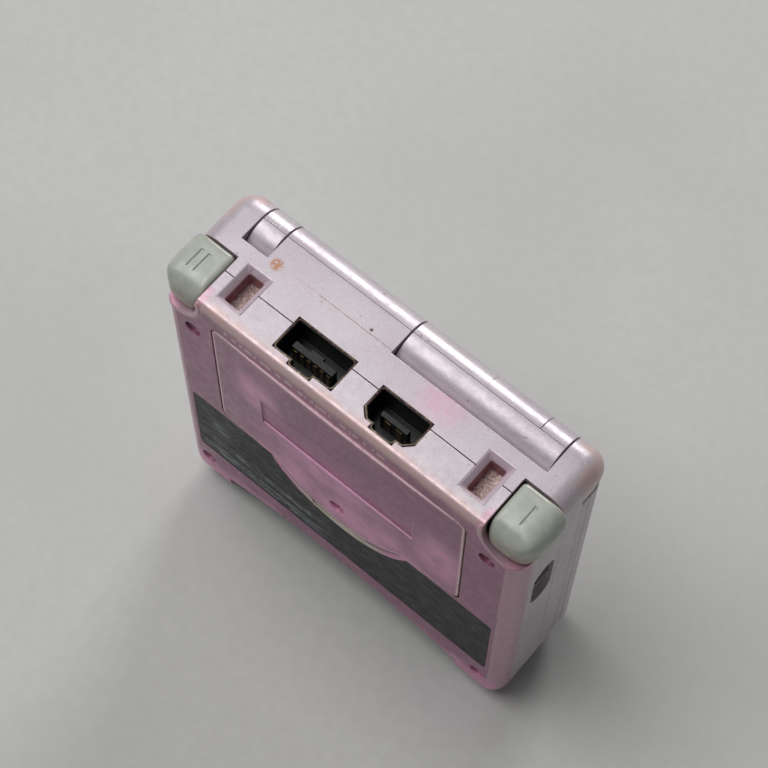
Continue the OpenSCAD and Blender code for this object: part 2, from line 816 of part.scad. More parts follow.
// Crescent between the tongue and the label, inside the scoop's width
module scoop_outline() {
    difference() {
        intersection() {
            translate([0, tongue_tip_y + tongue_r - label_tongue_gap + 0.6]) circle(tongue_r);
            translate([-scoop_w / 2, tongue_tip_y - tongue_l]) square([scoop_w, tongue_l + over]);
        }
        translate([0, tongue_tip_y + tongue_r]) circle(tongue_r + cover_gap + 0.4);
    }
}

// Outline of the label grown by g, with the curved edge that clears the tongue
module label_outline(g) {
    difference() {
        round4(-label_w / 2 - g, label_front - g, label_w / 2 + g, label_front + label_l + g,
            [soft_edge_r, soft_edge_r, soft_edge_r, soft_edge_r]);
        translate([0, tongue_tip_y + tongue_r - label_tongue_gap]) circle(tongue_r - g);
    }
}

// ---------------------------------------------------------------- port outlines

// Link port outline grown by g, with its key notch below
module link_outline(g) {
    translate([link_x - g, port_z - g]) square([link_w + 2 * g, link_h + 2 * g]);
    translate([link_x + link_w / 2 - key_w / 2 - g, port_z - key_h - g])
        square([key_w + 2 * g, key_h + over]);
}

// Power port outline grown by g, with cut lower corners and its key notch
module power_outline(g) {
    x0 = -power_x - power_w - g;
    x1 = -power_x + g;
    z0 = port_z - g;
    polygon([
        [x0 + power_cut, z0], [x1 - power_cut, z0], [x1, z0 + power_cut],
        [x1, port_z + power_h + g], [x0, port_z + power_h + g], [x0, z0 + power_cut],
    ]);
    translate([-power_x - power_w / 2 - key_w / 2 - g, port_z - key_h - g])
        square([key_w + 2 * g, key_h + over]);
}

// ---------------------------------------------------------------- cuts shared by the casings

// Hook pocket on the right with its bevelled mouth
module hook_pocket() {
    x1 = pocket_x + pocket_w;
    z1 = pocket_z + pocket_h;
    b = pocket_bevel;
    block([pocket_x, pocket_y0, pocket_z], [x1, body_l + over, z1]);
    intersection() {
        along_x(pocket_x - 2 * over, x1 + 2 * over)
            polygon([
                [body_l - b, pocket_z], [body_l + over, pocket_z - b - over],
                [body_l + over, z1 + b + over], [body_l - b, z1],
            ]);
        along_z(pocket_z - 3 * over, z1 + 3 * over)
            polygon([
                [pocket_x, body_l - b], [pocket_x - b - over, body_l + over],
                [x1 + b + over, body_l + over], [x1, body_l - b],
            ]);
    }
}

// Box of wall round a hook pocket
module pocket_box() {
    w = pocket_wall;
    block([pocket_x - w, pocket_y0 - w, pocket_z - w],
        [pocket_x + pocket_w + w, body_l - wall / 2, pocket_z + pocket_h + w]);
}

// Outline of a right-hand shoulder button in plan
module shoulder_outline() {
    x1 = half_w + shoulder_proud;
    s = soft_edge_r;
    intersection() {
        round4(shoulder_x0, shoulder_y0, x1 + body_w, body_l + body_w, [shoulder_corner_r, s, s, s]);
        round4(shoulder_x0, shoulder_y0, x1, body_l, [s, shoulder_outer_r, shoulder_outer_r, s]);
    }
}

// Corner of the casing that a right-hand shoulder button takes
module shoulder_cut() {
    top = shoulder_top + shoulder_gap;
    r = shoulder_corner_r + shoulder_gap;
    intersection() {
        along_z(-over, top)
            round4(shoulder_x0 - shoulder_gap, parting_step_y, body_w, body_w + body_l,
                [r, soft_edge_r, soft_edge_r, soft_edge_r]);
        block([shoulder_x0 - over, parting_step_y, -over], [body_w, body_l + over, top]);
    }
}

// Recess and stem slot of a slider of length l on the right; the stem travels t
module slider_recess(l, t) {
    translate([recess_face_x, slider_y, slider_z]) rotate([0, 90, 0]) rotate([0, 0, 90])
        linear_extrude(recess_depth + over) pill(l, recess_h);
    block([recess_back_x - over, slider_y - t / 2 - stem_h, slider_z - stem_h / 2 - slider_gap],
        [half_w, slider_y + t / 2 + stem_h, slider_z + stem_h / 2 + slider_gap]);
}

// Screw boss on the battery face, without its bores
module lower_boss(x, y) {
    rod_z(x, y, boss_r, wall / 2, side_parting_z);
}

// Head seat and shank hole of a casing screw
module screw_bore(x, y) {
    rod_z(x, y, screw_head_r + screw_gap, -over, screw_sink + screw_head_h + screw_gap);
    rod_z(x, y, shank_r + screw_gap, 0, deck_under);
}

// Casing screw with a cross recess, head down
module casing_screw(x, y, length) {
    difference() {
        union() {
            rod_z(x, y, screw_head_r, screw_sink, screw_sink + screw_head_h);
            rod_z(x, y, shank_r, screw_sink, screw_sink + length);
        }
        for (turn = [0, 90])
            translate([x, y, screw_sink]) rotate([0, 0, turn])
                cube([cross_l, cross_w, screw_head_h], center = true);
    }
}

// ---------------------------------------------------------------- base: casings

module base_lower_shell() {
    stand() color(shell_pink) difference() {
        union() {
            difference() {
                intersection() {
                    base_form(0);
                    below_parting();
                }
                base_hollow();
            }
            intersection() {
                base_form(wall / 2);
                both_sides() block([slot_w / 2, 0, 0], [slot_w / 2 + bay_wall, bay_depth, board_z]);
            }
            cover_ledge();
            battery_box();
            rod_z(0, cover_screw_y, boss_r, ledge_z, board_z);
            for (s = SCREW_SPOTS) lower_boss(s[0], s[1]);
            both_sides() intersection() {
                pocket_box();
                below_parting();
            }
            slider_pads();
        }
        bay_mouth();
        along_z(-over, cover_recess) cover_outline(cover_gap);
        block([-battery_w / 2 - battery_gap, battery_y0 - battery_gap, 0],
            [battery_w / 2 + battery_gap, battery_y1 + battery_gap, box_roof_z]);
        rod_z(0, cover_screw_y, shank_r + screw_gap, 0, board_z - over);
        along_y(body_l - 2 * wall, body_l + over) link_outline(port_lip + port_gap);
        along_y(body_l - 2 * wall, body_l + over) power_outline(port_lip + port_gap);
        port_block(link_x, link_x + link_w, port_gap);
        port_block(-power_x - power_w, -power_x, port_gap);
        both_sides() hook_pocket();
        for (s = SCREW_SPOTS) screw_bore(s[0], s[1]);
        both_sides() shoulder_cut();
        mirror([1, 0, 0]) slider_recess(volume_l, volume_travel);
        slider_recess(power_recess_l, power_travel);
        along_z(-over, label_t + hair) label_outline(hair);
        along_z(-over, scoop_depth) scoop_outline();
    }
}

// Ledge under the cover's edge, carried by the battery face
module cover_ledge() {
    difference() {
        along_z(ledge_z, ledge_top) cover_outline(ledge_grip);
        along_z(ledge_z - over, ledge_top + over)
            translate([-connector_w / 2, tongue_tip_y - 2 * tongue_l])
                square([connector_w, 2 * tongue_l - over / 2]);
    }
}

// Walls and roof round the battery, open to the battery face
module battery_box() {
    x = battery_w / 2 + battery_gap + box_wall;
    y0 = battery_y0 - battery_gap - box_wall;
    y1 = battery_y1 + battery_gap + box_wall;
    block([-x, y0, ledge_z], [x, y1, box_roof_z + box_wall]);
    both_sides() block([x - box_wall, y0, ledge_z], [x, y1, board_z]);
}

// Thick wall behind the two slider recesses
module slider_pads() {
    z0 = slider_z - recess_h / 2 - over;
    for (side = [[-1, volume_l], [1, power_recess_l]])
        scale_side(side[0])
            block([recess_back_x, slider_y - side[1] / 2 - over, z0],
                [half_w - wall / 2, slider_y + side[1] / 2 + over, side_parting_z]);
}

// Keeps (1) or mirrors (-1) what stands on the right-hand side
module scale_side(side) {
    if (side > 0) children();
    else mirror([1, 0, 0]) children();
}

// Mouth of the cartridge bay, with the arc in the battery face where fingers pull
module bay_mouth() {
    top = board_z - wall / 2;
    intersection() {
        rod_z(0, finger_cut - finger_cut_r, finger_cut_r, -over, top);
        block([-slot_w / 2, -over, -over], [slot_w / 2, finger_cut + over, top]);
    }
}

module base_upper_shell() {
    stand() color(shell_pink) difference() {
        union() {
            difference() {
                intersection() {
                    base_form(0);
                    above_parting();
                }
                base_hollow();
            }
            hinge_block();
            both_sides() intersection() {
                pocket_box();
                above_parting();
            }
            for (s = SCREW_SPOTS) rod_z(s[0], s[1], boss_r, side_parting_z + seam, deck_under + deck_t / 2);
        }
        sunk_deck();
        knuckle_space(-ear_x, mid_barrel_x);
        knuckle_space(mid_end_x, ear_x);
        block([mid_barrel_x - over, 0, barrel_seam_z],
            [mid_end_x + over, body_l + over, total_t + over]);
        base_barrel_bores();
        along_y(body_l - 2 * wall, body_l + over) link_outline(port_lip + port_gap);
        along_y(body_l - 2 * wall, body_l + over) power_outline(port_lip + port_gap);
        both_sides() hook_pocket();
        both_sides() shoulder_cut();
        for (s = SCREW_SPOTS) rod_z(s[0], s[1], shank_r + screw_gap, 0, deck_under);
        control_holes();
        sound_slots();
        for (k = [0, 1]) lamp_hole(k, hair);
    }
}

// Solid block across the rear that carries the ears and the middle barrel
module hinge_block() {
    r = rear_corner_r;
    along_z(side_parting_z + seam, base_t)
        round4(-half_w, block_y - block_wall, half_w, body_l, [least_r, least_r, r, r]);
    along_z(deck_under, hinge_z) round4(-half_w, block_y, half_w, body_l, [r, r, r, r]);
    round_barrel();
}

// Lowered field of the deck inside its rim
module sunk_deck() {
    along_z(deck_z, base_t + over)
        round4(-half_w + rim_w, rim_w, half_w - rim_w, hinge_y - deck_rear,
            [front_corner_r - rim_w, front_corner_r - rim_w, rear_corner_r, rear_corner_r]);
}

// Pin bores and hollow of the fixed barrel
module base_barrel_bores() {
    r = pin_r + fixed_clearance;
    rod_x(hinge_y, hinge_z, r, -ear_x - pin_in_ear, -ear_x + over);
    rod_x(hinge_y, hinge_z, r, ear_x - over, ear_x + pin_in_ear);
    rod_x(hinge_y, hinge_z, r, hollow_x1 - over, mid_end_x + over);
    rod_x(hinge_y, hinge_z, hollow_r, mid_barrel_x + barrel_wall, hollow_x1);
}

// Through holes for the pad and the buttons
module control_holes() {
    along_z(deck_under - over, base_t) {
        translate([-dpad_x, dpad_y]) dpad_cross(dpad_gap);
        translate([a_x, a_y]) circle(ab_r + button_gap);
        translate([b_x, b_y]) circle(ab_r + button_gap);
        translate([0, light_y]) circle(light_r + button_gap);
        for (side = [-1, 1])
            translate([side * pill_x, pill_y]) pill(pill_l + 2 * button_gap, pill_w + 2 * button_gap);
    }
}

// Slots in the deck above the speaker, shorter towards the rim of a circle
module sound_slots() {
    pitch = 2 * sound_slot_w;
    reach = speaker_r - 2 * pitch;
    for (k = [-2 : 2])
        translate([k * pitch, speaker_y, deck_under - over]) rotate([0, 0, 90])
            linear_extrude(deck_t + 2 * over)
                pill(2 * sqrt(reach * reach + pitch * pitch - k * k * pitch * pitch), sound_slot_w);
}

// Hole or body of light pipe k in the right-hand wall, grown by g
module lamp_hole(k, g) {
    y = body_l - lamp_rear - k * lamp_pitch;
    block([half_w - wall - over, y - lamp_l / 2 - g, board_top + lamp_h - lamp_h / 2 - g],
        [half_w + (g > 0 ? over : 0), y + lamp_l / 2 + g, board_top + lamp_h + lamp_h / 2 + g]);
}

// Cap over the upper half of the fixed barrel
module hinge_cover() {
    stand() color(shell_pink) difference() {
        rod_x(hinge_y, hinge_z, barrel_r, mid_barrel_x, mid_end_x);
        block([mid_barrel_x - over, 0, 0], [mid_end_x + over, body_l + over, barrel_seam_z + seam]);
        base_barrel_bores();
    }
}

module base_screws() {
    stand() color(steel)
        for (s = SCREW_SPOTS) casing_screw(s[0], s[1], deck_under - screw_sink - over);
}

// ---------------------------------------------------------------- base: board and ports

// Board outline with notches for the bosses, pockets and shoulder buttons
module board_outline() {
    x = half_w - wall - board_side_gap;
    difference() {
        round4(-x, board_front, x, body_l - wall - board_rear_gap,
            [rear_corner_r, rear_corner_r, soft_edge_r, soft_edge_r]);
        for (s = SCREW_SPOTS) translate(s) circle(boss_r + piece_gap);
        for (side = [-1, 1]) scale_side(side) {
            translate([shoulder_x0 - shoulder_boss_r, parting_step_y - over / 2])
                square([shoulder_in + over, body_l]);
            translate([pocket_x - pocket_wall - piece_gap, pocket_y0 - pocket_wall - piece_gap])
                square([body_w, body_l]);
        }
    }
}

module main_board() {
    stand() color(board_green) along_z(board_z, board_top) board_outline();
}

module board_chips() {
    stand() color(black_plastic) {
        for (c = CHIPS)
            block([c[0] - c[2], c[1] - c[3], board_top], [c[0] + c[2], c[1] + c[3], board_top + chip_t]);
    }
}

module cartridge_connector() {
    y0 = bay_depth + hair;
    z0 = ledge_top + connector_rise;
    stand() color(black_plastic) difference() {
        block([-connector_w / 2, y0, z0], [connector_w / 2, y0 + connector_d, board_z]);
        block([-connector_w / 2 + over, y0 - over, z0 + 2 * over],
            [connector_w / 2 - over, y0 + connector_d - over, z0 + 4 * over]);
    }
}

// Solid block of a port housing behind the casing wall, grown by g
module port_block(x0, x1, g) {
    block([x0 - port_wall - g, body_l - port_depth - port_wall - g, wall + hair - g],
        [x1 + port_wall + g, body_l - wall - hair + g, board_z]);
}

module link_port() {
    y_mouth = body_l - port_sink;
    y_back = body_l - port_depth;
    x_mid = link_x + link_w / 2;
    z0 = port_z + port_tongue_z;
    stand() color(black_plastic) {
        difference() {
            union() {
                port_block(link_x, link_x + link_w, 0);
                along_y(body_l - 2 * wall, y_mouth) link_outline(port_lip);
            }
            along_y(y_back, body_l + over) link_outline(0);
        }
        block([x_mid - 0.37 * link_w, y_back - hair, z0],
            [x_mid + 0.37 * link_w, body_l - port_tongue_sink, z0 + port_tongue_t]);
        block([x_mid - key_w / 3, y_back - hair, z0],
            [x_mid + key_w / 3, body_l - port_tongue_sink, z0 + 1.4 * port_tongue_t]);
    }
}

module power_port() {
    y_mouth = body_l - port_sink;
    y_back = body_l - port_depth;
    x_mid = -power_x - power_w / 2;
    z0 = port_z + port_tongue_z;
    stand() color(black_plastic) {
        difference() {
            union() {
                port_block(-power_x - power_w, -power_x, 0);
                along_y(body_l - 2 * wall, y_mouth) power_outline(port_lip);
            }
            along_y(y_back, body_l + over) power_outline(0);
        }
        block([x_mid - 0.29 * power_w, y_back - hair, z0],
            [x_mid + 0.29 * power_w, body_l - port_tongue_sink, z0 + 0.8 * port_tongue_t]);
    }
}

// A row of n contact strips on top of a tongue
module contact_row(x_mid, z, n, pitch) {
    for (k = [0 : n - 1])
        translate([x_mid + (k - (n - 1) / 2) * pitch - pitch / 4, body_l - port_depth, z])
            cube([pitch / 2, port_depth - port_tongue_sink - over, 2 * hair]);
}

module link_contacts() {
    x_mid = link_x + link_w / 2;
    z = port_z + port_tongue_z - 2 * hair;
    stand() color(contact_gold) contact_row(x_mid, z, 6, 0.12 * link_w);
}

module power_contacts() {
    x_mid = -power_x - power_w / 2;
    z = port_z + port_tongue_z - 2 * hair;
    stand() color(contact_gold) contact_row(x_mid, z, 2, 0.24 * power_w);
}

// ---------------------------------------------------------------- base: battery and cover

module battery() {
    r = soft_edge_r;
    stand() color(cell_grey)
        along_z(battery_z, battery_z + battery_t)
            round4(-battery_w / 2, battery_y0, battery_w / 2, battery_y1, [r, r, r, r]);
}

// Three spring leaves between the box and the battery's front end
module battery_contacts() {
    t = battery_gap / 2;
    stand() color(contact_gold)
        for (k = [-1, 0, 1])
            block([k * leaf_pitch - leaf_w / 2, battery_y0 - battery_gap + hair, battery_z + over],
                [k * leaf_pitch + leaf_w / 2, battery_y0 - battery_gap + hair + t, battery_z + battery_t]);
}

// Cross-section of the cover: a flat inner side and an outer side that bows as a parabola
module bow_profile() {
    bow = [for (k = [0 : bow_steps])
        let (u = 2 * k / bow_steps - 1) [u * cover_w / 2, cover_bulge * (u * u - 1)]];
    polygon(concat(bow, [[cover_w / 2, cover_t + over], [-cover_w / 2, cover_t + over]]));
}

// Cover plate with its bowed outer face and a bare sunk name plate
module battery_cover() {
    plate_y1 = cover_y1 - plate_rear;
    stand() color(shell_pink) difference() {
        intersection() {
            along_z(-cover_bulge - over, cover_t) cover_outline(0);
            along_y(tongue_tip_y - over, cover_y1 + over) bow_profile();
        }
        block([-plate_w / 2, plate_y1 - plate_l, -cover_bulge - over], [plate_w / 2, plate_y1, plate_depth]);
        rod_z(0, cover_screw_y, screw_head_r + screw_gap, -over, cover_head_top);
        rod_z(0, cover_screw_y, shank_r + screw_gap, -over, cover_t + over);
    }
}

module battery_cover_screw() {
    z0 = cover_head_top - cover_head_h;
    stand() color(steel) difference() {
        union() {
            rod_z(0, cover_screw_y, screw_head_r, z0, cover_head_top);
            rod_z(0, cover_screw_y, shank_r, z0, board_z - 2 * over);
        }
        for (turn = [0, 90])
            translate([0, cover_screw_y, z0]) rotate([0, 0, turn])
                cube([cross_l, cross_w, cover_head_h], center = true);
    }
}

module rating_label() {
    stand() color(label_black) along_z(hair, label_t + hair) label_outline(0);
}

// ---------------------------------------------------------------- base: controls

// Outline of the direction pad, grown by g
module dpad_cross(g) {
    a = dpad_arm + 2 * g;
    s = dpad_span + 2 * g;
    r = soft_edge_r;
    round4(-s / 2, -a / 2, s / 2, a / 2, [r, r, r, r]);
    round4(-a / 2, -s / 2, a / 2, s / 2, [r, r, r, r]);
}

module dpad() {
    stand() color(button_sage) translate([-dpad_x, dpad_y, 0]) {
        difference() {
            along_z(dpad_under, low_top) dpad_cross(0);
            translate([0, 0, low_top + dpad_dish_r]) sphere(dpad_dish_r + mark_depth);
        }
        rod_z(0, 0, dpad_flange_r, dpad_under, dpad_under + dpad_flange_t);
    }
}

// Post in the middle of the pad's mat, on which the pad rocks
module dpad_pivot_post() {
    stand() color(rubber_grey)
        rod_z(-dpad_x, dpad_y, dpad_post_r, board_top + dome_gap, dpad_under - dome_gap);
}

module dpad_mat() {
    dome_top = dpad_under - dpad_play + dome_gap;
    stand() color(rubber_grey) translate([-dpad_x, dpad_y, 0]) difference() {
        union() {
            rod_z(0, 0, dpad_flange_r, board_top, board_top + mat_t / 2);
            for (turn = [0 : 90 : 270])
                rotate([0, 0, turn]) rod_z(dpad_span / 3, 0, dpad_dome_r, board_top, dome_top);
        }
        rod_z(0, 0, dpad_post_r + piece_gap, board_top - over, dpad_under);
    }
}

// Round button at (x, y) with a flange under the deck and a slightly cupped top
module round_button(x, y, r, top) {
    rod_z(x, y, r + flange_w, flange_bottom, flange_top);
    difference() {
        rod_z(x, y, r, flange_bottom, top);
        translate([x, y, top + dish_factor * r]) sphere(dish_factor * r + mark_depth / 2);
    }
}

module button_a() {
    stand() color(button_sage) round_button(a_x, a_y, ab_r, button_top);
}

module button_b() {
    stand() color(button_sage) round_button(b_x, b_y, ab_r, button_top);
}

// Dome of a rubber mat that stops just short of a pressed button
module dome(x, y, r, travel) {
    rod_z(x, y, r, board_top, flange_bottom - travel - dome_gap);
}

module ab_mat() {
    r = ab_r + flange_w;
    stand() color(rubber_grey) {
        hull() {
            rod_z(a_x, a_y, r, board_top, board_top + mat_t);
            rod_z(b_x, b_y, r, board_top, board_top + mat_t);
        }
        dome(a_x, a_y, ab_r / 2, ab_travel);
        dome(b_x, b_y, ab_r / 2, ab_travel);
    }
}

// Pill button on the given side with a flange under the deck
module pill_button(side) {
    translate([side * pill_x, pill_y, 0]) {
        along_z(flange_bottom, low_top) pill(pill_l, pill_w);
        along_z(flange_bottom, flange_top) pill(pill_l + 2 * flange_w, pill_w + 2 * flange_w);
    }
}

module start_button() {
    stand() color(button_sage) pill_button(1);
}

module select_button() {
    stand() color(button_sage) pill_button(-1);
}

module start_select_mat() {
    stand() color(rubber_grey) {
        along_z(board_top, board_top + mat_t)
            translate([0, pill_y]) pill(2 * pill_x + pill_l, pill_w + 2 * flange_w);
        dome(pill_x, pill_y, pill_w / 2, small_travel);
        dome(-pill_x, pill_y, pill_w / 2, small_travel);
    }
}

module light_button() {
    stand() color(button_sage) round_button(0, light_y, light_r, low_top);
}

module light_mat() {
    stand() color(rubber_grey) {
        rod_z(0, light_y, light_r + flange_w, board_top, board_top + mat_t);
        dome(0, light_y, light_r / 2, small_travel);
    }
}

module speaker() {
    top = board_top + speaker_t;
    stand() color(steel) difference() {
        rod_z(0, speaker_y, speaker_r, board_top, top);
        rod_z(0, speaker_y, speaker_r - over, top - mark_depth, top + over);
    }
}

module speaker_gasket() {
    stand() color(rubber_grey) difference() {
        rod_z(0, speaker_y, speaker_r, board_top + speaker_t, deck_under);
        rod_z(0, speaker_y, speaker_r - over, board_top, deck_under + over);
    }
}

module led_lightpipes() {
    stand() color(lamp_white) for (k = [0, 1]) lamp_hole(k, 0);
}

module board_leds() {
    stand() color(lamp_white) for (k = [0, 1]) {
        y = body_l - lamp_rear - k * lamp_pitch;
        x1 = half_w - wall - board_side_gap;
        block([x1 - 2 * over, y - lamp_l / 3, board_top], [x1, y + lamp_l / 3, board_top + lamp_h]);
    }
}

// ---------------------------------------------------------------- base: shoulder buttons

// Right-hand shoulder button with its pivot arm, before the numeral is cut
module shoulder_body() {
    difference() {
        union() {
            intersection() {
                along_z(shoulder_z, shoulder_top) shoulder_outline();
                along_y(shoulder_y0 - over, body_l + over)
                    round4(shoulder_x0 - over, shoulder_z, half_w + shoulder_proud, shoulder_top,
                        [0.1, shoulder_edge_r, soft_edge_r, 0.1]);
                along_x(shoulder_x0 - over, half_w + 2 * over)
                    round4(shoulder_y0, shoulder_z, body_l, shoulder_top,
                        [shoulder_end_r, shoulder_end_r, soft_edge_r, soft_edge_r]);
            }
            rod_z(shoulder_pivot_x, shoulder_pivot_y, shoulder_boss_r, shoulder_boss_z0, shoulder_boss_z1);
            block([shoulder_pivot_x, shoulder_pivot_y - shoulder_boss_r * 0.5, shoulder_boss_z0],
                [shoulder_x0 + shoulder_corner_r, shoulder_pivot_y + shoulder_boss_r, shoulder_boss_z1]);
        }
        rod_z(shoulder_pivot_x, shoulder_pivot_y, shoulder_pin_r + pin_clearance, 0, base_t);
    }
}

// Rear-face place of the numerals, in the middle of the right-hand shoulder button
module mark_place() {
    translate([half_w - shoulder_in / 2, body_l - mark_depth, shoulder_z + shoulder_h / 2])
        children();
}

// Upright bar of a plain numeral at x
module bar_mark(x) {
    translate([x - mark_w / 2, 0, -mark_l / 2]) cube([mark_w, over, mark_l]);
}

// A plain bar numeral one, cut into the left-hand shoulder button
module shoulder_button_left() {
    stand() color(button_sage) mirror([1, 0, 0]) difference() {
        shoulder_body();
        mark_place() bar_mark(0);
    }
}

// Two plain bars, cut into the right-hand shoulder button
module shoulder_button_right() {
    stand() color(button_sage) difference() {
        shoulder_body();
        mark_place() for (side = [-1, 1]) bar_mark(side * mark_pitch / 2);
    }
}

module shoulder_pins() {
    stand() color(steel) both_sides()
        rod_z(shoulder_pivot_x, shoulder_pivot_y, shoulder_pin_r, wall, board_z - hair);
}

// Torsion springs round the pins, below the pivot bosses
module shoulder_springs() {
    z0 = ledge_top + hair;
    z1 = shoulder_boss_z0 - slider_gap;
    r = shoulder_boss_r - slider_gap;
    stand() color(steel) both_sides() difference() {
        union() {
            rod_z(shoulder_pivot_x, shoulder_pivot_y, r, z0, z1);
            block([shoulder_pivot_x, shoulder_pivot_y - r, z0],
                [shoulder_pivot_x + 3 * over, shoulder_pivot_y - r + slider_gap, z0 + slider_gap]);
        }
        rod_z(shoulder_pivot_x, shoulder_pivot_y, shoulder_pin_r + pin_clearance, 0, base_t);
    }
}

module shoulder_switches() {
    x1 = half_w - wall - slider_gap;
    y1 = parting_step_y - slider_gap;
    stand() color(steel) both_sides()
        block([x1 - switch_w, y1 - switch_l, board_z - switch_h], [x1, y1, board_z]);
}

// ---------------------------------------------------------------- base: sliders

// Knob, stem and carriage on the right, centred in its recess plus shift
module slider_piece(shift) {
    translate([0, slider_y + shift, slider_z]) {
        difference() {
            block([recess_face_x + slider_gap / 2, -knob_l / 2, -knob_h / 2],
                [recess_face_x + knob_rise, knob_l / 2, knob_h / 2]);
            for (k = [-1, 0, 1])
                block([recess_face_x + knob_rise - mark_depth, k * groove_pitch - groove_w / 2, -knob_h],
                    [recess_face_x + knob_rise + over, k * groove_pitch + groove_w / 2, knob_h]);
        }
        block([recess_back_x - over, -stem_h / 2, -stem_h / 2],
            [recess_face_x + slider_gap, stem_h / 2, stem_h / 2]);
    }
}

// Rest place of the volume slider: the hinge end of its travel
module volume_slider() {
    stand() color(black_plastic) mirror([1, 0, 0]) slider_piece(volume_travel / 2);
}

// Rest place of the power slider: off, at the front end of its travel
module power_slider() {
    stand() color(black_plastic) slider_piece(-power_travel / 2);
}

// Housing behind a slider with a channel for the stem's end
module slider_housing(travel) {
    x1 = recess_back_x - slider_gap / 2;
    y = travel / 2 + housing_end;
    w = housing_end / 4;
    difference() {
        block([x1 - housing_d, slider_y - y, slider_z - housing_end], [x1, slider_y + y, board_z]);
        block([x1 - channel_d, slider_y - y + w, slider_z - stem_h / 2 - slider_gap],
            [x1 + over, slider_y + y - w, slider_z + stem_h / 2 + slider_gap]);
    }
}

module volume_potentiometer() {
    stand() color(steel) mirror([1, 0, 0]) slider_housing(volume_travel);
}

module power_switch() {
    stand() color(steel) slider_housing(power_travel);
}

// ---------------------------------------------------------------- hinge

module hinge_shaft_left() {
    stand() color(steel)
        rod_x(hinge_y, hinge_z, pin_r, -ear_x - pin_in_ear + hair, click_x0 + click_len - over);
}

module hinge_pin_right() {
    stand() color(steel)
        rod_x(hinge_y, hinge_z, pin_r, hollow_x1 + hair, ear_x + pin_in_ear - hair);
}

module hinge_click_unit() {
    stand() color(steel) difference() {
        rod_x(hinge_y, hinge_z, click_r, click_x0 + hair, click_x0 + click_len);
        rod_x(hinge_y, hinge_z, pin_r + pin_clearance, click_x0 - over, click_x0 + click_len + over);
    }
}

// Region of the cap at the outer end of the long knuckle
module end_cap_region(g) {
    block([long_x0 - over, block_y - g, barrel_seam_z + seam - g],
        [long_x0 + end_cap_w + g, body_l + over, total_t + over]);
}

module hinge_end_cap() {
    stand() color(shell_pink) difference() {
        intersection() {
            rod_x(hinge_y, hinge_z, barrel_r, long_x0, long_x0 + end_cap_w);
            end_cap_region(0);
        }
        knuckle_bores();
        block([long_x0 - over, block_y - over, 0], [0, hinge_y, total_t + over]);
    }
}

// ---------------------------------------------------------------- lid

module lid_outer_shell() {
    stand() color(shell_pink) difference() {
        union() {
            intersection() {
                lid_body();
                block([-body_w, -over, barrel_seam_z + seam], [body_w, body_l + over, total_t + over]);
            }
            for (p = PAD_SPOTS)
                rod_z(p[0], p[1], pad_r, barrel_seam_z + seam, lid_inside_z + wall / 2);
        }
        for (p = PAD_SPOTS) rod_z(p[0], p[1], shank_r + screw_gap, 0, lid_inside_z);
        intersection() {
            end_cap_region(seam);
            block([long_x0 - over, hinge_y - seam, 0], [0, body_l + over, total_t + over]);
        }
    }
}

module lid_inner_shell() {
    x = lens_w / 2;
    y = lens_l / 2;
    g = lens_gap;
    stand() color(inner_pink) difference() {
        union() {
            intersection() {
                lid_body();
                block([-body_w, -over, 0], [body_w, body_l + over, barrel_seam_z]);
            }
            for (p = PAD_SPOTS) rod_z(p[0], p[1], pad_r, lid_cavity_z - over / 2, barrel_seam_z);
        }
        block([-x - g, screen_y - y - g, lid_z - over],
            [x + g, screen_y + y + g, lens_z + lens_t + stack_gap]);
        block([-x + lens_ledge, screen_y - y + lens_ledge, lid_z],
            [x - lens_ledge, screen_y + y - lens_ledge, lid_cavity_z + over]);
        for (p = PAD_SPOTS) {
            rod_z(p[0], p[1], pad_r + lens_gap, lid_z - over, lid_z + pad_seat);
            rod_z(p[0], p[1], lid_head_r + screw_gap, lid_z, lid_z + pad_seat + lid_head_h);
            rod_z(p[0], p[1], shank_r + screw_gap, lid_z, total_t);
        }
    }
}

module screen_lens() {
    r = soft_edge_r;
    stand() color(lens_clear) along_z(lens_z, lens_z + lens_t)
        round4(-lens_w / 2, screen_y - lens_l / 2, lens_w / 2, screen_y + lens_l / 2, [r, r, r, r]);
}

module light_guide() {
    stand() color(lens_clear)
        block([-lens_w / 2, screen_y - lens_l / 2, guide_z],
            [lens_w / 2, screen_y + lens_l / 2, guide_z + guide_t]);
}

module lcd_gasket() {
    x = lens_w / 2 + lens_gap;
    y = lens_l / 2 + lens_gap;
    w = gasket_w;
    stand() color(rubber_grey) difference() {
        block([-x - w, screen_y - y - w, lid_cavity_z], [x + w, screen_y + y + w, guide_z + guide_t]);
        block([-x, screen_y - y, 0], [x, screen_y + y, total_t]);
    }
}

module lcd_panel() {
    stand() color(panel_grey)
        block([-panel_w / 2, screen_y - panel_l / 2, panel_z],
            [panel_w / 2, screen_y + panel_l / 2, panel_z + panel_t]);
}

module lid_pads() {
    stand() color(rubber_grey)
        for (p = PAD_SPOTS) rod_z(p[0], p[1], pad_r, lid_z - pad_proud, lid_z + pad_seat - hair);
}

module lid_screws() {
    stand() color(steel) for (p = PAD_SPOTS) {
        rod_z(p[0], p[1], lid_head_r, lid_z + pad_seat, lid_z + pad_seat + lid_head_h - hair);
        rod_z(p[0], p[1], shank_r, lid_z + pad_seat, lid_inside_z - over / 2);
    }
}

// Flat ribbon from the display panel into the barrel, where it curls round the axis
module display_ribbon() {
    x1 = ribbon_x + ribbon_w;
    stand() color(ribbon_amber) {
        block([ribbon_x, screen_y, ribbon_z], [x1, hinge_y, ribbon_z + ribbon_t]);
        difference() {
            rod_x(hinge_y, hinge_z, ribbon_r + ribbon_t, ribbon_x, x1);
            rod_x(hinge_y, hinge_z, ribbon_r, ribbon_x - over, x1 + over);
            block([ribbon_x - over, hinge_y - 2 * barrel_r, hinge_z - barrel_r / 3],
                [x1 + over, hinge_y, hinge_z + 2 * barrel_r]);
        }
    }
}

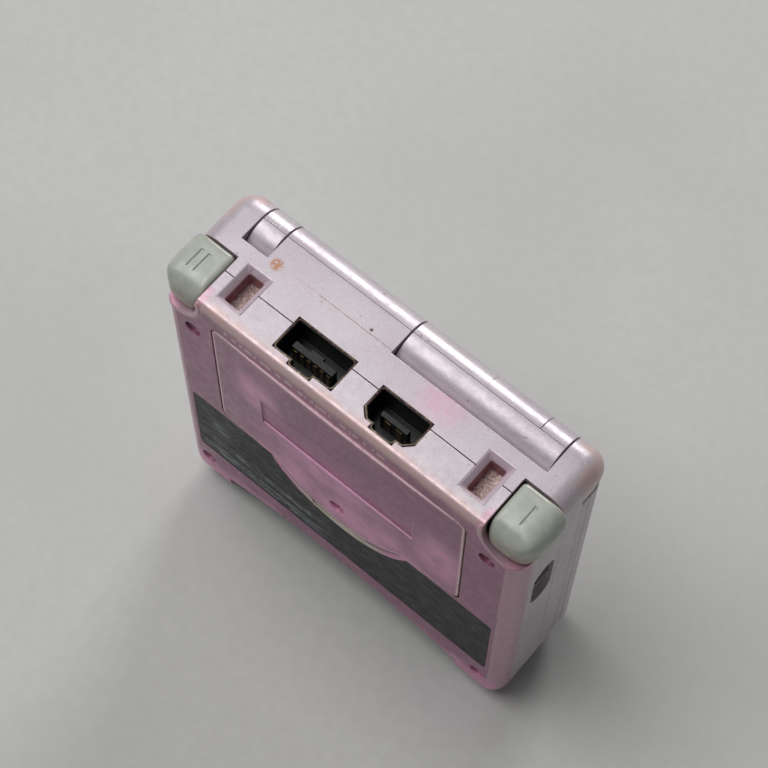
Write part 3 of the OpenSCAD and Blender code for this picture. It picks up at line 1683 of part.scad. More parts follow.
base_lower_shell();
base_upper_shell();
hinge_cover();
base_screws();
main_board();
board_chips();
cartridge_connector();
link_port();
link_contacts();
power_port();
power_contacts();
battery();
battery_contacts();
battery_cover();
battery_cover_screw();
rating_label();
speaker();
speaker_gasket();
dpad();
dpad_pivot_post();
dpad_mat();
button_a();
button_b();
ab_mat();
start_button();
select_button();
start_select_mat();
light_button();
light_mat();
led_lightpipes();
board_leds();
shoulder_button_left();
shoulder_button_right();
shoulder_pins();
shoulder_springs();
shoulder_switches();
volume_slider();
volume_potentiometer();
power_slider();
power_switch();
hinge_shaft_left();
hinge_pin_right();
hinge_click_unit();
hinge_end_cap();
lid_outer_shell();
lid_inner_shell();
screen_lens();
light_guide();
lcd_gasket();
lcd_panel();
lid_pads();
lid_screws();
display_ribbon();
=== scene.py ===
# %% [markdown]
# # A folding handheld game console, closed and standing on its front edge
#
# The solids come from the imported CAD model. This lesson dresses them: it softens their edges,
# remakes the pieces that the eye rests on as finer surfaces, and gives every piece a worn,
# procedural finish. X runs to the console's left-hand side, Y from the battery face out
# through the lid and Z up to the hinge barrel, all in metres.

# %% Load the frame
import json
import math

import bmesh
import bpy
import numpy as np
from mathutils import Matrix, Vector


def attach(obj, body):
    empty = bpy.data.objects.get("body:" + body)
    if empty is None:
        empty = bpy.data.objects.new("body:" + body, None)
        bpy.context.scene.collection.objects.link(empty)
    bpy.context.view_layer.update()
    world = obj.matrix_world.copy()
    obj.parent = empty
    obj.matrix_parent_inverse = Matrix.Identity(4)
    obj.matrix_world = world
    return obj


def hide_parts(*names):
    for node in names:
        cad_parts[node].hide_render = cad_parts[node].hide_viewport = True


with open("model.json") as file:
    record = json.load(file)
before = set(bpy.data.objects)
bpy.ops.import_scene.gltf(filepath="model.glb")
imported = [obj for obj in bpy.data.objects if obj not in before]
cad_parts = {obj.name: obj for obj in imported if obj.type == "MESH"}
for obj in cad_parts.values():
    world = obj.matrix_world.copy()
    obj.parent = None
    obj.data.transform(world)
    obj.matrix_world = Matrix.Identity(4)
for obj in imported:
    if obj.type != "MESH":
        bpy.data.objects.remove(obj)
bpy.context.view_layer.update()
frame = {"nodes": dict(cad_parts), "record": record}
NODES = frame["nodes"]
MM = 0.001

# %% [markdown]
# ## The camera
#
# The photograph looks steeply down on the hinge side from the front left, with a long lens and
# a little roll. The three axes below are the camera's own right, up and backward directions,
# found by matching the corners of the sockets, the pockets and the label.

# %% Camera
CAMERA_AT = Vector((0.09812, -0.11891, 0.41693))
CAMERA_RIGHT = Vector((0.763588, 0.645669, 0.006732))
CAMERA_UP = Vector((-0.590567, 0.694131, 0.411598))
CAMERA_BACK = Vector((0.261083, -0.318266, 0.911341))
LENS_MM = 103.03

camera_data = bpy.data.cameras.new("camera")
camera_data.lens = LENS_MM
camera_data.sensor_width = 36.0
camera_data.clip_start = 0.01
camera = bpy.data.objects.new("camera", camera_data)
turn = Matrix((CAMERA_RIGHT, CAMERA_UP, CAMERA_BACK)).transposed()
camera.matrix_world = Matrix.Translation(CAMERA_AT) @ turn.to_4x4()
bpy.context.scene.collection.objects.link(camera)
bpy.context.scene.camera = camera
print("camera at", tuple(CAMERA_AT), "lens", LENS_MM)

# %% [markdown]
# ## Graph helpers for finishes
#
# A finish is a small graph of nodes. These helpers keep each graph short: a colour is written
# as the eye sees it, from 0 to 255, a length in millimetres, and each helper gives back the
# socket that the next one takes. Patterns are read in Object coordinates, so that they stay on
# the piece from every side.

# %% Graph helpers
def seen(r, g, b):
    """Linear colour of a display colour: each channel is raised to the display's own curve."""
    c = np.array([r, g, b]) / 255.0
    low = c / 12.92
    high = ((c + 0.055) / 1.055) ** 2.4
    return (*np.where(c <= 0.04045, low, high).tolist(), 1.0)


class Finish:
    """A material whose graph is built from short calls."""

    def __init__(self, name, rough=0.45, metal=0.0, coat=0.0, coat_rough=0.2, spec=0.5):
        self.mat = bpy.data.materials.new(name)
        self.mat.use_nodes = True
        self.tree = self.mat.node_tree
        self.shader = self.tree.nodes["Principled BSDF"]
        self.shader.inputs["Roughness"].default_value = rough
        self.shader.inputs["Metallic"].default_value = metal
        self.shader.inputs["Coat Weight"].default_value = coat
        self.shader.inputs["Coat Roughness"].default_value = coat_rough
        self.shader.inputs["Specular IOR Level"].default_value = spec
        where = self.tree.nodes.new("ShaderNodeTexCoord")
        self.where = where.outputs["Object"]
        split = self.tree.nodes.new("ShaderNodeSeparateXYZ")
        self.tree.links.new(self.where, split.inputs[0])
        self.x, self.y, self.z = (self.sum("MULTIPLY", c, 1000.0) for c in split.outputs)

    def put(self, value, socket):
        """Feeds a socket from another socket, or sets it to a plain value."""
        if isinstance(value, bpy.types.NodeSocket):
            self.tree.links.new(value, socket)
        elif value is not None:
            socket.default_value = value

    def sum(self, kind, a, b=None, c=None):
        """One arithmetic step on one, two or three values."""
        n = self.tree.nodes.new("ShaderNodeMath")
        n.operation = kind
        for value, socket in zip((a, b, c), n.inputs):
            self.put(value, socket)
        return n.outputs[0]

    def step(self, value, low, high, a=0.0, b=1.0):
        """Smooth rise from a to b while the value goes from low to high."""
        n = self.tree.nodes.new("ShaderNodeMapRange")
        n.interpolation_type = "SMOOTHSTEP"
        self.put(value, n.inputs["Value"])
        for name, v in (("From Min", low), ("From Max", high), ("To Min", a), ("To Max", b)):
            n.inputs[name].default_value = v
        return n.outputs["Result"]

    def under(self, value, edge, soft):
        """1 below the edge, fading to 0 over soft above it."""
        return self.step(value, edge, edge + soft, 1.0, 0.0)

    def over(self, value, edge, soft):
        """1 above the edge, fading to 0 over soft below it."""
        return self.step(value, edge - soft, edge)

    def length(self, *parts):
        """Root of the summed squares."""
        total = self.sum("MULTIPLY", parts[0], parts[0])
        for part in parts[1:]:
            total = self.sum("ADD", total, self.sum("MULTIPLY", part, part))
        return self.sum("SQRT", total)

    def all(self, *shares):
        """Product of several shares."""
        out = shares[0]
        for share in shares[1:]:
            out = self.sum("MULTIPLY", out, share)
        return out

    def most(self, *shares):
        """Largest of several shares."""
        out = shares[0]
        for share in shares[1:]:
            out = self.sum("MAXIMUM", out, share)
        return out

    def box_away(self, a, b, at, half, radius):
        """Signed distance to a rounded rectangle about a point, in the plane of a and b."""
        qa = self.sum("ADD", self.sum("ABSOLUTE", self.sum("SUBTRACT", a, at[0])), radius - half[0])
        qb = self.sum("ADD", self.sum("ABSOLUTE", self.sum("SUBTRACT", b, at[1])), radius - half[1])
        outside = self.length(self.sum("MAXIMUM", qa, 0.0), self.sum("MAXIMUM", qb, 0.0))
        inside = self.sum("MINIMUM", self.sum("MAXIMUM", qa, qb), 0.0)
        return self.sum("SUBTRACT", self.sum("ADD", outside, inside), radius)

    def away(self, a, b, a0, b0):
        """Distance to the point (a0, b0) in the plane of a and b."""
        return self.length(self.sum("SUBTRACT", a, a0), self.sum("SUBTRACT", b, b0))

    def spot(self, at, radius, soft, stretch=(1.0, 1.0, 1.0)):
        """1 inside a ball about a point in millimetres, fading to 0 over soft; stretch flattens it."""
        parts = [self.sum("MULTIPLY", self.sum("SUBTRACT", c, c0), k)
                 for c, c0, k in zip((self.x, self.y, self.z), at, stretch)]
        return self.under(self.length(*parts), radius, soft)

    def band(self, value, centre, half, soft):
        """1 where the value is within half of the centre, fading to 0 over soft."""
        off = self.sum("ABSOLUTE", self.sum("SUBTRACT", value, centre))
        return self.step(off, half, half + soft, 1.0, 0.0)

    def grain(self, per_mm, detail=2.0, rough=0.5, stretch=None, offset=0.0):
        """Noise with so many lumps per millimetre, stretched along an axis where asked."""
        n = self.tree.nodes.new("ShaderNodeTexNoise")
        where = self.where
        if stretch or offset:
            shift = self.tree.nodes.new("ShaderNodeMapping")
            shift.inputs["Scale"].default_value = stretch or (1, 1, 1)
            shift.inputs["Location"].default_value = (offset, offset, offset)
            self.put(where, shift.inputs["Vector"])
            where = shift.outputs[0]
        self.put(where, n.inputs["Vector"])
        n.inputs["Scale"].default_value = per_mm / MM
        n.inputs["Detail"].default_value = detail
        n.inputs["Roughness"].default_value = rough
        return n.outputs["Fac"]

    def mix(self, share, a, b):
        """Colour that goes from a to b with the share."""
        n = self.tree.nodes.new("ShaderNodeMix")
        n.data_type = "RGBA"
        self.put(share, n.inputs["Factor"])
        for socket in n.inputs:
            if socket.type == "RGBA":
                self.put(a if socket.name == "A" else b, socket)
        return [socket for socket in n.outputs if socket.type == "RGBA"][0]

    def bump(self, height, depth_mm, strength=1.0):
        """Relief of the given depth from a height between 0 and 1."""
        n = self.tree.nodes.new("ShaderNodeBump")
        n.inputs["Strength"].default_value = strength
        n.inputs["Distance"].default_value = depth_mm * MM
        self.put(height, n.inputs["Height"])
        self.tree.links.new(n.outputs[0], self.shader.inputs["Normal"])

    def done(self, colour, rough=None):
        """Sets the shader's colour, and its roughness where a pattern drives it."""
        self.put(colour, self.shader.inputs["Base Color"])
        if rough is not None:
            self.put(rough, self.shader.inputs["Roughness"])
        return self.mat


print("a display grey of 128 is", round(seen(128, 128, 128)[0], 3), "in linear colour")

# %% [markdown]
# ## The floor and the light
#
# The floor is plain and pale. A broad lamp stands low behind the console, so that the hinge
# barrel takes one long white highlight, as from a window, while the battery face looks away
# from it and stays darker. A wide soft lamp overhead, well over to the -X side, lights the rear
# face evenly and leaves the +X side in shade. A weak pale world keeps the shadows open.

# %% Floor, lamps and world
FLOOR_SPAN = 6.0
floor_mesh = bpy.data.meshes.new("floor")
half = FLOOR_SPAN / 2
corners = [(-half, -half, 0), (half, -half, 0), (half, half, 0), (-half, half, 0)]
floor_mesh.from_pydata(corners, [], [(0, 1, 2, 3)])
floor = bpy.data.objects.new("floor", floor_mesh)
bpy.context.scene.collection.objects.link(floor)

plain = Finish("floor_plain", rough=0.7, spec=0.2)
cloud = plain.grain(0.01, 3.0)
fine = plain.grain(0.4, 2.0)
tone = plain.mix(plain.step(cloud, 0.35, 0.65), seen(190, 190, 188), seen(197, 197, 195))
tone = plain.mix(plain.step(fine, 0.3, 0.7, 0, 0.3), tone, seen(184, 184, 183))
floor_mesh.materials.append(plain.done(tone))


def lamp(name, at, towards, size, watts):
    """Square area lamp at a point, facing another one."""
    data = bpy.data.lights.new(name, "AREA")
    data.shape = "SQUARE"
    data.size = size
    data.energy = watts
    obj = bpy.data.objects.new(name, data)
    back = (Vector(at) - Vector(towards)).normalized()
    obj.matrix_world = Matrix.Translation(at) @ back.to_track_quat("Z", "Y").to_matrix().to_4x4()
    bpy.context.scene.collection.objects.link(obj)
    return obj


lamp("window", (-0.34, 1.10, 0.52), (0, 0, 0.08), 0.40, 6.8)
lamp("sky", (-0.48, -0.12, 1.22), (0, 0, 0.05), 0.95, 12.4)
WORLD_STRENGTH = 0.12
world = bpy.data.worlds.new("world")
world.use_nodes = True
background = world.node_tree.nodes["Background"]
background.inputs["Color"].default_value = (1.0, 1.0, 1.0, 1.0)
background.inputs["Strength"].default_value = WORLD_STRENGTH
bpy.context.scene.world = world
bpy.context.scene.view_settings.view_transform = "Standard"
print("floor", FLOOR_SPAN, "m wide, two lamps and a pale world")

# %% [markdown]
# ## Softened copies of the moulded pieces
#
# Moulded plastic has no knife edges. A copy of each CAD piece is merged, its sharp edges are
# beveled by a fraction of a millimetre, and the rest is shaded smooth, so that the barrel
# shows no facets and each edge takes a thin highlight. Flat faces with holes are cut by long
# plain edges; the bevel doesn't slide along those, or it would leave slivers on the flat.

# %% Softened copies
MERGE = 2e-6
FLAT_DEGREES = 0.4


def finish_mesh(obj, material, body, slot_name, *replaced):
    """Gives a piece its material, its body and the CAD nodes it stands for; slot_name is not used."""
    obj.data.materials.clear()
    obj.data.materials.append(material)
    if obj.name not in bpy.context.scene.collection.objects:
        bpy.context.scene.collection.objects.link(obj)
    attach(obj, body)
    if replaced:
        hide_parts(*replaced)
    return obj


def smooth_by_angle(mesh, degrees):
    """Smooth shading, with the edges that turn more than the angle left sharp."""
    bm = bmesh.new()
    bm.from_mesh(mesh)
    limit = math.radians(degrees)
    for e in bm.edges:
        e.smooth = len(e.link_faces) == 2 and e.calc_face_angle(0.0) < limit
    for face in bm.faces:
        face.smooth = True
    bm.to_mesh(mesh)
    bm.free()


def softened(node, material, body, slot_name, width_mm=0.15, segments=2, angle=32):
    """Merged and beveled copy of a CAD node, under the node's name with _soft."""
    obj = bpy.data.objects.new(node + "_soft", NODES[node].data.copy())
    mesh = obj.data
    bm = bmesh.new()
    bm.from_mesh(mesh)
    bmesh.ops.remove_doubles(bm, verts=bm.verts, dist=MERGE)
    bmesh.ops.dissolve_limit(bm, angle_limit=math.radians(FLAT_DEGREES), verts=bm.verts, edges=bm.edges)
    bm.to_mesh(mesh)
    bm.free()
    smooth_by_angle(mesh, angle)
    finish_mesh(obj, material, body, slot_name, node)
    bevel = obj.modifiers.new("edge", "BEVEL")
    bevel.width = width_mm * MM
    bevel.segments = segments
    bevel.limit_method = "ANGLE"
    bevel.angle_limit = math.radians(angle)
    bevel.use_clamp_overlap = False
    bevel.harden_normals = True
    bevel.loop_slide = False
    return obj


print("casing copies merge points closer than", MERGE, "m")

# %% [markdown]
# ## Surfaces from arrays
#
# The finer pieces are surfaces worked out with numpy. A stack of closed loops becomes a skin
# of four-sided faces, and a loop that shrinks to a point closes it. Outlines are drawn with
# rounded corners and then walked at equal steps, so that every loop has the same count.

# %% Skins and outlines
def skin(name, rings, close_first=True, close_last=True):
    """Closed surface through rings, an array (ring, point, xyz); the ends are closed by a pole."""
    rings = np.asarray(rings, float)
    m, n, _ = rings.shape
    verts = rings.reshape(-1, 3)
    i, j = np.meshgrid(np.arange(m - 1), np.arange(n), indexing="ij")
    k = (j + 1) % n
    quads = np.stack([i * n + j, i * n + k, (i + 1) * n + k, (i + 1) * n + j], -1).reshape(-1, 4)
    faces = quads.tolist()
    edge = np.arange(n)
    after = (edge + 1) % n
    if close_first:
        verts = np.vstack([verts, rings[0].mean(0)])
        faces += np.stack([after, edge, np.full(n, len(verts) - 1)], -1).tolist()
    if close_last:
        verts = np.vstack([verts, rings[-1].mean(0)])
        base = (m - 1) * n
        faces += np.stack([base + edge, base + after, np.full(n, len(verts) - 1)], -1).tolist()
    mesh = bpy.data.meshes.new(name)
    mesh.from_pydata(verts.tolist(), [], faces)
    mesh.update()
    outward(mesh)
    return bpy.data.objects.new(name, mesh)


def outward(mesh):
    """Turns every face of a closed mesh outwards."""
    bm = bmesh.new()
    bm.from_mesh(mesh)
    bmesh.ops.recalc_face_normals(bm, faces=bm.faces)
    bm.to_mesh(mesh)
    bm.free()


def rounded_outline(corners, radii, count, arc=12):
    """Closed outline of count points at equal steps; each corner is an arc of its radius.

    The arc's centre lies on the corner's bisector, at radius over the sine of half the angle."""
    p = np.asarray(corners, float)
    r = np.asarray(radii, float)
    a = np.roll(p, 1, 0) - p
    b = np.roll(p, -1, 0) - p
    a /= np.linalg.norm(a, axis=1, keepdims=True)
    b /= np.linalg.norm(b, axis=1, keepdims=True)
    half = np.arccos(np.clip((a * b).sum(1), -1, 1)) / 2
    mid = a + b
    mid /= np.linalg.norm(mid, axis=1, keepdims=True)
    centre = p + mid * (r / np.sin(half))[:, None]
    start = p + a * (r / np.tan(half))[:, None] - centre
    stop = p + b * (r / np.tan(half))[:, None] - centre
    t = np.linspace(0, 1, arc)[None, :, None]
    ray = start[:, None] * (1 - t) + stop[:, None] * t
    ray /= np.maximum(np.linalg.norm(ray, axis=2, keepdims=True), 1e-12)
    points = (centre[:, None] + ray * r[:, None, None]).reshape(-1, 2)
    return walk(points, count)


def walk(points, count):
    """The same closed outline with count points at equal steps along its length."""
    closed = np.vstack([points, points[:1]])
    run = np.concatenate([[0], np.cumsum(np.linalg.norm(np.diff(closed, axis=0), axis=1))])
    at = np.linspace(0, run[-1], count, endpoint=False)
    return np.stack([np.interp(at, run, closed[:, 0]), np.interp(at, run, closed[:, 1])], -1)


def inset(outline, d):
    """Outline moved inwards by d along its own normals."""
    ahead = np.roll(outline, -1, 0) - np.roll(outline, 1, 0)
    normal = np.stack([-ahead[:, 1], ahead[:, 0]], -1)
    normal /= np.maximum(np.linalg.norm(normal, axis=1, keepdims=True), 1e-12)
    x, y = outline[:, 0], outline[:, 1]
    area = (x * np.roll(y, -1) - np.roll(x, -1) * y).sum()
    return outline + normal * d * np.sign(area)


print("skins close with poles, outlines are walked at equal steps")

# %% [markdown]
# ## The shoulder buttons
#
# Each shoulder button is a glossy lump of pale sage plastic that wraps round a rear corner.
# Three rounded outlines, one for each direction, bound it. A smooth maximum of their distances
# melts the three into one soft form, and rays from its middle find the surface.

# %% Soft block from three outlines
HALVINGS = 40


def box_distance(a, b, low, high, radii):
    """Signed distance to a rectangle whose corners low-low, high-low, high-high and low-high
    have their own radii: the usual rounded-box distance, with the radius of the quadrant."""
    ca, cb = (low[0] + high[0]) / 2, (low[1] + high[1]) / 2
    ha, hb = (high[0] - low[0]) / 2, (high[1] - low[1]) / 2
    da, db = a - ca, b - cb
    r = np.where(da < 0, np.where(db < 0, radii[0], radii[3]), np.where(db < 0, radii[1], radii[2]))
    qa, qb = np.abs(da) - ha + r, np.abs(db) - hb + r
    outside = np.hypot(np.maximum(qa, 0), np.maximum(qb, 0))
    return outside + np.minimum(np.maximum(qa, qb), 0) - r


def soft_block(name, low, high, radii_xy, radii_xz, radii_yz, blend, rows, cols):
    """Surface where the smooth maximum of three outline distances is zero, found along rays.

    The smooth maximum is blend times the log of the mean of exp(distance / blend), so that
    edges between the outlines are melted over about that length."""
    low, high = np.asarray(low, float), np.asarray(high, float)
    centre = (low + high) / 2
    v = (np.arange(rows) + 0.5) / rows * math.pi
    u = np.arange(cols) / cols * 2 * math.pi
    vv, uu = np.meshgrid(v, u, indexing="ij")
    ray = np.stack([np.sin(vv) * np.cos(uu), np.sin(vv) * np.sin(uu), np.cos(vv)], -1)
    ray = ray * (high - low)

    def field(p):
        x, y, z = p[..., 0], p[..., 1], p[..., 2]
        d = np.stack([
            box_distance(x, y, low[[0, 1]], high[[0, 1]], radii_xy),
            box_distance(x, z, low[[0, 2]], high[[0, 2]], radii_xz),
            box_distance(y, z, low[[1, 2]], high[[1, 2]], radii_yz),
        ])
        top = d.max(0)
        return top + blend * np.log(np.exp((d - top) / blend).sum(0) / len(d))

    near, far = np.zeros(ray.shape[:2]), np.full(ray.shape[:2], 2.0)
    for _ in range(HALVINGS):
        middle = (near + far) / 2
        inside = field(centre + ray * middle[..., None]) < 0
        near, far = np.where(inside, middle, near), np.where(inside, far, middle)
    return skin(name, centre + ray * near[..., None])


print("soft blocks: each ray is halved", HALVINGS, "times")

# %% [markdown]
# ## Pearl paint, worn
#
# The casings are moulded in a peach plastic and painted in a pale lilac pearl. Years of pockets
# have rubbed the paint off the long edge between the rear and the battery face and off the
# ears' corners, where the peach shows. The battery face is a darker mauve, darkened further by
# painted shade because it looks away from the light, that ends where the side columns and the
# shoulder buttons' lips begin to round, and round the name plate its top coat has worn to a
# brighter pink. Painted highlights line the cover's raised outline, the plate's edge and a
# crescent in the recess under the tongue, and painted shade fills the cover's groove on its +X
# side. Dirt sits in the parting lines. All of that is laid out by distance to those edges, in
# millimetres, and broken up by noise.

# %% Where the faces and edges lie, and the paint's tones
BATTERY_FACE = -11.9
REAR_FACE = 84.6
SIDE_FACE = 39.8
PARTING_Y = -4.16
LID_FACE = 5.0
COVER_AT, COVER_HALF, COVER_R = (0.0, 60.55), (28.1, 17.85), 1.6
TONGUE_AT, TONGUE_R = 53.4, 18.1
LABEL_GAP = 4.3
PLATE_AT, PLATE_HALF = (0.0, 59.4), (17.4, 4.5)
LIP_AT, LIP_R = (31.35, 75.75), 6.35
PEACH = seen(208, 174, 170)
PEARL = seen(196, 187, 193)
PEARL_SHADE = seen(186, 174, 182)
COLUMN = seen(190, 138, 156)
# The battery face's mauve is its own pink hue, made darker as painted shade because that face looks away
# from the light.
SHADED_MAUVE = seen(162, 98, 132)
SHADED_MAUVE_DEEP = seen(144, 88, 119)
ROSE = seen(238, 164, 204)
GRIME = seen(70, 44, 40)


def paint_grains(f):
    """Noises that every paint shares, kept on the finish, and the fine relief of the paint."""
    f.big, f.mid, f.mica = f.grain(0.10, 3.0), f.grain(0.8, 3.0), f.grain(4.4, 1.0, 0.6)
    f.bump(f.sum("ADD", f.sum("MULTIPLY", f.mica, 0.5), f.mid), 0.010, 0.5)


def pearl_ground(f):
    """Pearl colour with slow clouds, mica grain and a few dark dots."""
    paint_grains(f)
    colour = f.mix(f.step(f.big, 0.25, 0.8), PEARL, PEARL_SHADE)
    colour = f.mix(f.step(f.mica, 0.26, 0.44, 0.5, 0.0), colour, seen(166, 150, 160))
    colour = f.mix(f.step(f.mica, 0.56, 0.74, 0.0, 0.5), colour, seen(218, 212, 218))
    dots = f.step(f.grain(1.3, 0.0, 0.5, offset=0.31), 0.81, 0.85, 0.0, 0.55)
    return f.mix(dots, colour, seen(128, 104, 116))


def shaded_mauve_field(f):
    """Mauve of the battery face, darkened as painted shade, with pale pinpricks and faint clouds."""
    colour = f.mix(f.step(f.grain(0.14, 3.0), 0.3, 0.7), SHADED_MAUVE, SHADED_MAUVE_DEEP)
    pricks = f.step(f.grain(2.2, 1.0, 0.5, offset=0.07), 0.72, 0.80, 0.0, 0.6)
    colour = f.mix(pricks, colour, seen(208, 178, 194))
    return f.mix(f.step(f.mica, 0.55, 0.75, 0.0, 0.25), colour, seen(190, 156, 176))


def ragged(f, distance, noise, reach):
    """A distance whose contour wanders by the reach with the noise."""
    return f.sum("ADD", distance, f.sum("MULTIPLY", f.sum("SUBTRACT", noise, 0.5), reach))


def past_tongue(f, gap=0.0):
    """Signed distance to the round end of the cover's tongue, moved by the gap to the front."""
    return f.sum("SUBTRACT", f.away(f.x, f.z, 0.0, TONGUE_AT - gap), TONGUE_R)


print("paint tones; battery face at Y", BATTERY_FACE, "and rear face at Z", REAR_FACE)

# %% Paint of the base: its fields
def base_places(f):
    """Shares and distances that the base's paint is laid out by, kept on the finish."""
    f.out = f.sum("ABSOLUTE", f.x)
    f.lip = f.box_away(f.out, f.z, (LIP_AT[0] + 20, LIP_AT[1] + 20), (20, 20), LIP_R)
    f.face = f.under(f.y, BATTERY_FACE + 0.35, 0.9)
    f.near = f.under(f.y, BATTERY_FACE + 3.4, 1.0)
    f.wander = f.grain(0.3, 4.0, 0.6)


def lay_fields(f, colour):
    """Blush beside the power socket, pink side columns, and the mauve field between them, darkened as
    painted shade.
    """
    blush = f.all(f.spot((12.6, 1.0, REAR_FACE), 0.5, 6.5), f.step(f.mid, 0.2, 0.7, 0.3, 0.6))
    colour = f.mix(blush, colour, seen(206, 152, 174))
    column = f.all(f.near, f.step(f.out, 35.5, 37.5))
    colour = f.mix(f.all(column, 0.8), colour, COLUMN)
    sides = f.under(ragged(f, f.out, f.mid, 1.2), 36.7, 0.35)
    front = f.over(ragged(f, f.z, f.mid, 1.0), 3.4, 0.8)
    field = f.all(f.face, sides, f.under(f.z, 83.0, 0.5), front, f.over(f.lip, 1.15, 0.3))
    # Painted shade: the mauve field darkens the flat of the battery face.
    return f.mix(field, colour, shaded_mauve_field(f))


def lay_face_marks(f, colour):
    """Rose wear under the tongue and at the front, a pale arc in the recess under it that is a painted
    highlight, painted shade in the gap along the cover's +X side, oblongs.
    """
    arc = past_tongue(f, LABEL_GAP)
    worn = f.all(f.face, f.band(ragged(f, arc, f.mid, 1.6), 0.6, 1.4, 1.5), f.under(f.z, 42.0, 2.0))
    front = f.all(f.face, f.under(ragged(f, f.z, f.wander, 9.0), 7.0, 6.0))
    colour = f.mix(f.all(f.most(worn, front), 0.75), colour, ROSE)
    sunk = f.under(f.y, BATTERY_FACE + 1.6, 0.5)
    # Painted highlight: a pale greenish-white arc on the recess floor under the tongue.
    crescent_highlight = f.all(sunk, f.band(arc, -0.7, 0.6, 0.5), f.under(f.out, 7.0, 6.0), f.under(f.z, 38.0, 0.5))
    colour = f.mix(f.all(crescent_highlight, 0.85), colour, seen(204, 206, 186))
    # Painted shade: a dark red-brown line in the gap along the cover's +X side.
    groove_shade = f.box_away(f.x, f.z, COVER_AT, COVER_HALF, COVER_R)
    groove_shade = f.all(f.face, f.band(groove_shade, 0.2, 0.15, 0.15), f.step(f.x, 26.0, 27.5))
    colour = f.mix(f.all(groove_shade, 0.9), colour, seen(96, 48, 44))
    strip = f.all(f.face, f.band(f.z, 80.7, 0.42, 0.12), f.over(f.x, -25.0, 0.1), f.under(f.x, 12.0, 0.1))
    oblongs = f.step(f.grain(0.9, 1.0, 0.5, stretch=(1.0, 0.001, 0.001)), 0.47, 0.50)
    return f.mix(f.all(strip, oblongs, 0.7), colour, seen(226, 196, 190))


print("fields and marks of the battery face")

# %% Paint of the base: its wear and its dirt
def rub_edges(f, colour):
    """Peach plastic along the rear edge of the battery face and on the ears' round ends."""
    edge = f.away(f.y, f.z, BATTERY_FACE - 0.1, REAR_FACE - 0.6)
    edge = f.step(ragged(f, edge, f.wander, 3.0), 0.3, 2.9, 0.85, 0.0)
    rubbed = f.all(edge, f.step(f.big, 0.25, 0.5, 0.6, 1.0))
    ends = f.over(ragged(f, f.out, f.mid, 1.6), 38.6, 1.4)
    backs = f.over(ragged(f, f.y, f.mid, 1.2), 10.6, 1.6)
    ears = f.all(f.step(f.out, 33.3, 35.5), f.over(f.z, 79.0, 4.0), f.over(f.y, 5.5, 3.0))
    ears = f.all(ears, f.most(ends, backs), 0.7)
    return f.mix(f.most(rubbed, ears), colour, PEACH)


def dirty_rear(f, colour):
    """Stain, nick and faint brown trail on the rear face, and the dirt in the parting line."""
    stain = f.all(f.spot((-25.3, 2.4, REAR_FACE), 0.7, 0.9), f.step(f.grain(1.6, 2.0), 0.36, 0.52))
    colour = f.mix(f.all(stain, 0.9), colour, seen(170, 112, 76))
    colour = f.mix(f.spot((-5.1, 3.4, REAR_FACE), 0.2, 0.2), colour, seen(96, 66, 64))
    on_rear = f.over(f.z, REAR_FACE, 0.5)
    trail = f.all(f.band(ragged(f, f.y, f.mid, 0.3), 2.7, 0.04, 0.12), on_rear)
    trail = f.all(trail, f.over(f.x, -14.0, 9.0), f.under(f.x, 0.2, 0.2), f.step(f.mid, 0.3, 0.6, 0.2, 0.7))
    colour = f.mix(trail, colour, seen(132, 96, 90))
    line = f.all(f.band(f.y, PARTING_Y, 0.08, 0.07), on_rear)
    return f.mix(f.all(line, 0.95), colour, GRIME)


def lips_and_cuts(f, colour):
    """Pinker lips round the corner cuts, and a dirty line where each button meets the rear."""
    blushed = f.all(f.near, f.under(f.lip, 1.2, 0.3), f.step(f.mid, 0.2, 0.7, 0.3, 0.6))
    colour = f.mix(blushed, colour, seen(206, 146, 168))
    beside = f.all(f.under(f.y, -1.3, 0.2), f.over(f.y, BATTERY_FACE + 1.5, 1.0), f.over(f.z, 80.0, 4.0))
    moat = f.all(f.band(f.lip, 0.0, 0.08, 0.14), beside)
    return f.mix(f.all(moat, 0.8), colour, seen(96, 60, 60))


def case_paint():
    """Pearl paint of the base: mauve battery face darkened as painted shade, light lips and columns, peach
    worn edges.
    """
    f = Finish("case_paint", rough=0.36, metal=0.26, coat=0.25, coat_rough=0.3)
    colour = pearl_ground(f)
    base_places(f)
    for layer in (lay_fields, lay_face_marks, rub_edges, dirty_rear, lips_and_cuts):
        colour = layer(f, colour)
    return f.done(colour, f.step(f.mid, 0.3, 0.7, 0.30, 0.46))


case = case_paint()
print("base paint", len(case.node_tree.nodes), "graph nodes")

# %% Paint of the battery cover and of the lid
GLOWS = (((-18.2, -12.0, 65.0), 1.0, 6.5, (1.0, 1.0, 0.8)),
         ((-10.0, -12.0, 43.0), 2.0, 8.0, (0.8, 1.0, 1.0)),
         ((-2.0, -12.0, 52.0), 1.0, 8.0, (0.4, 1.0, 1.0)),
         ((6.0, -12.0, 42.0), 4.5, 9.0, (0.6, 1.0, 1.0)),
         ((23.5, -12.0, 54.0), 1.5, 9.0, (1.0, 1.0, 0.7)))
RING_XS = (-31.9, -31.1, -30.6, -29.7)


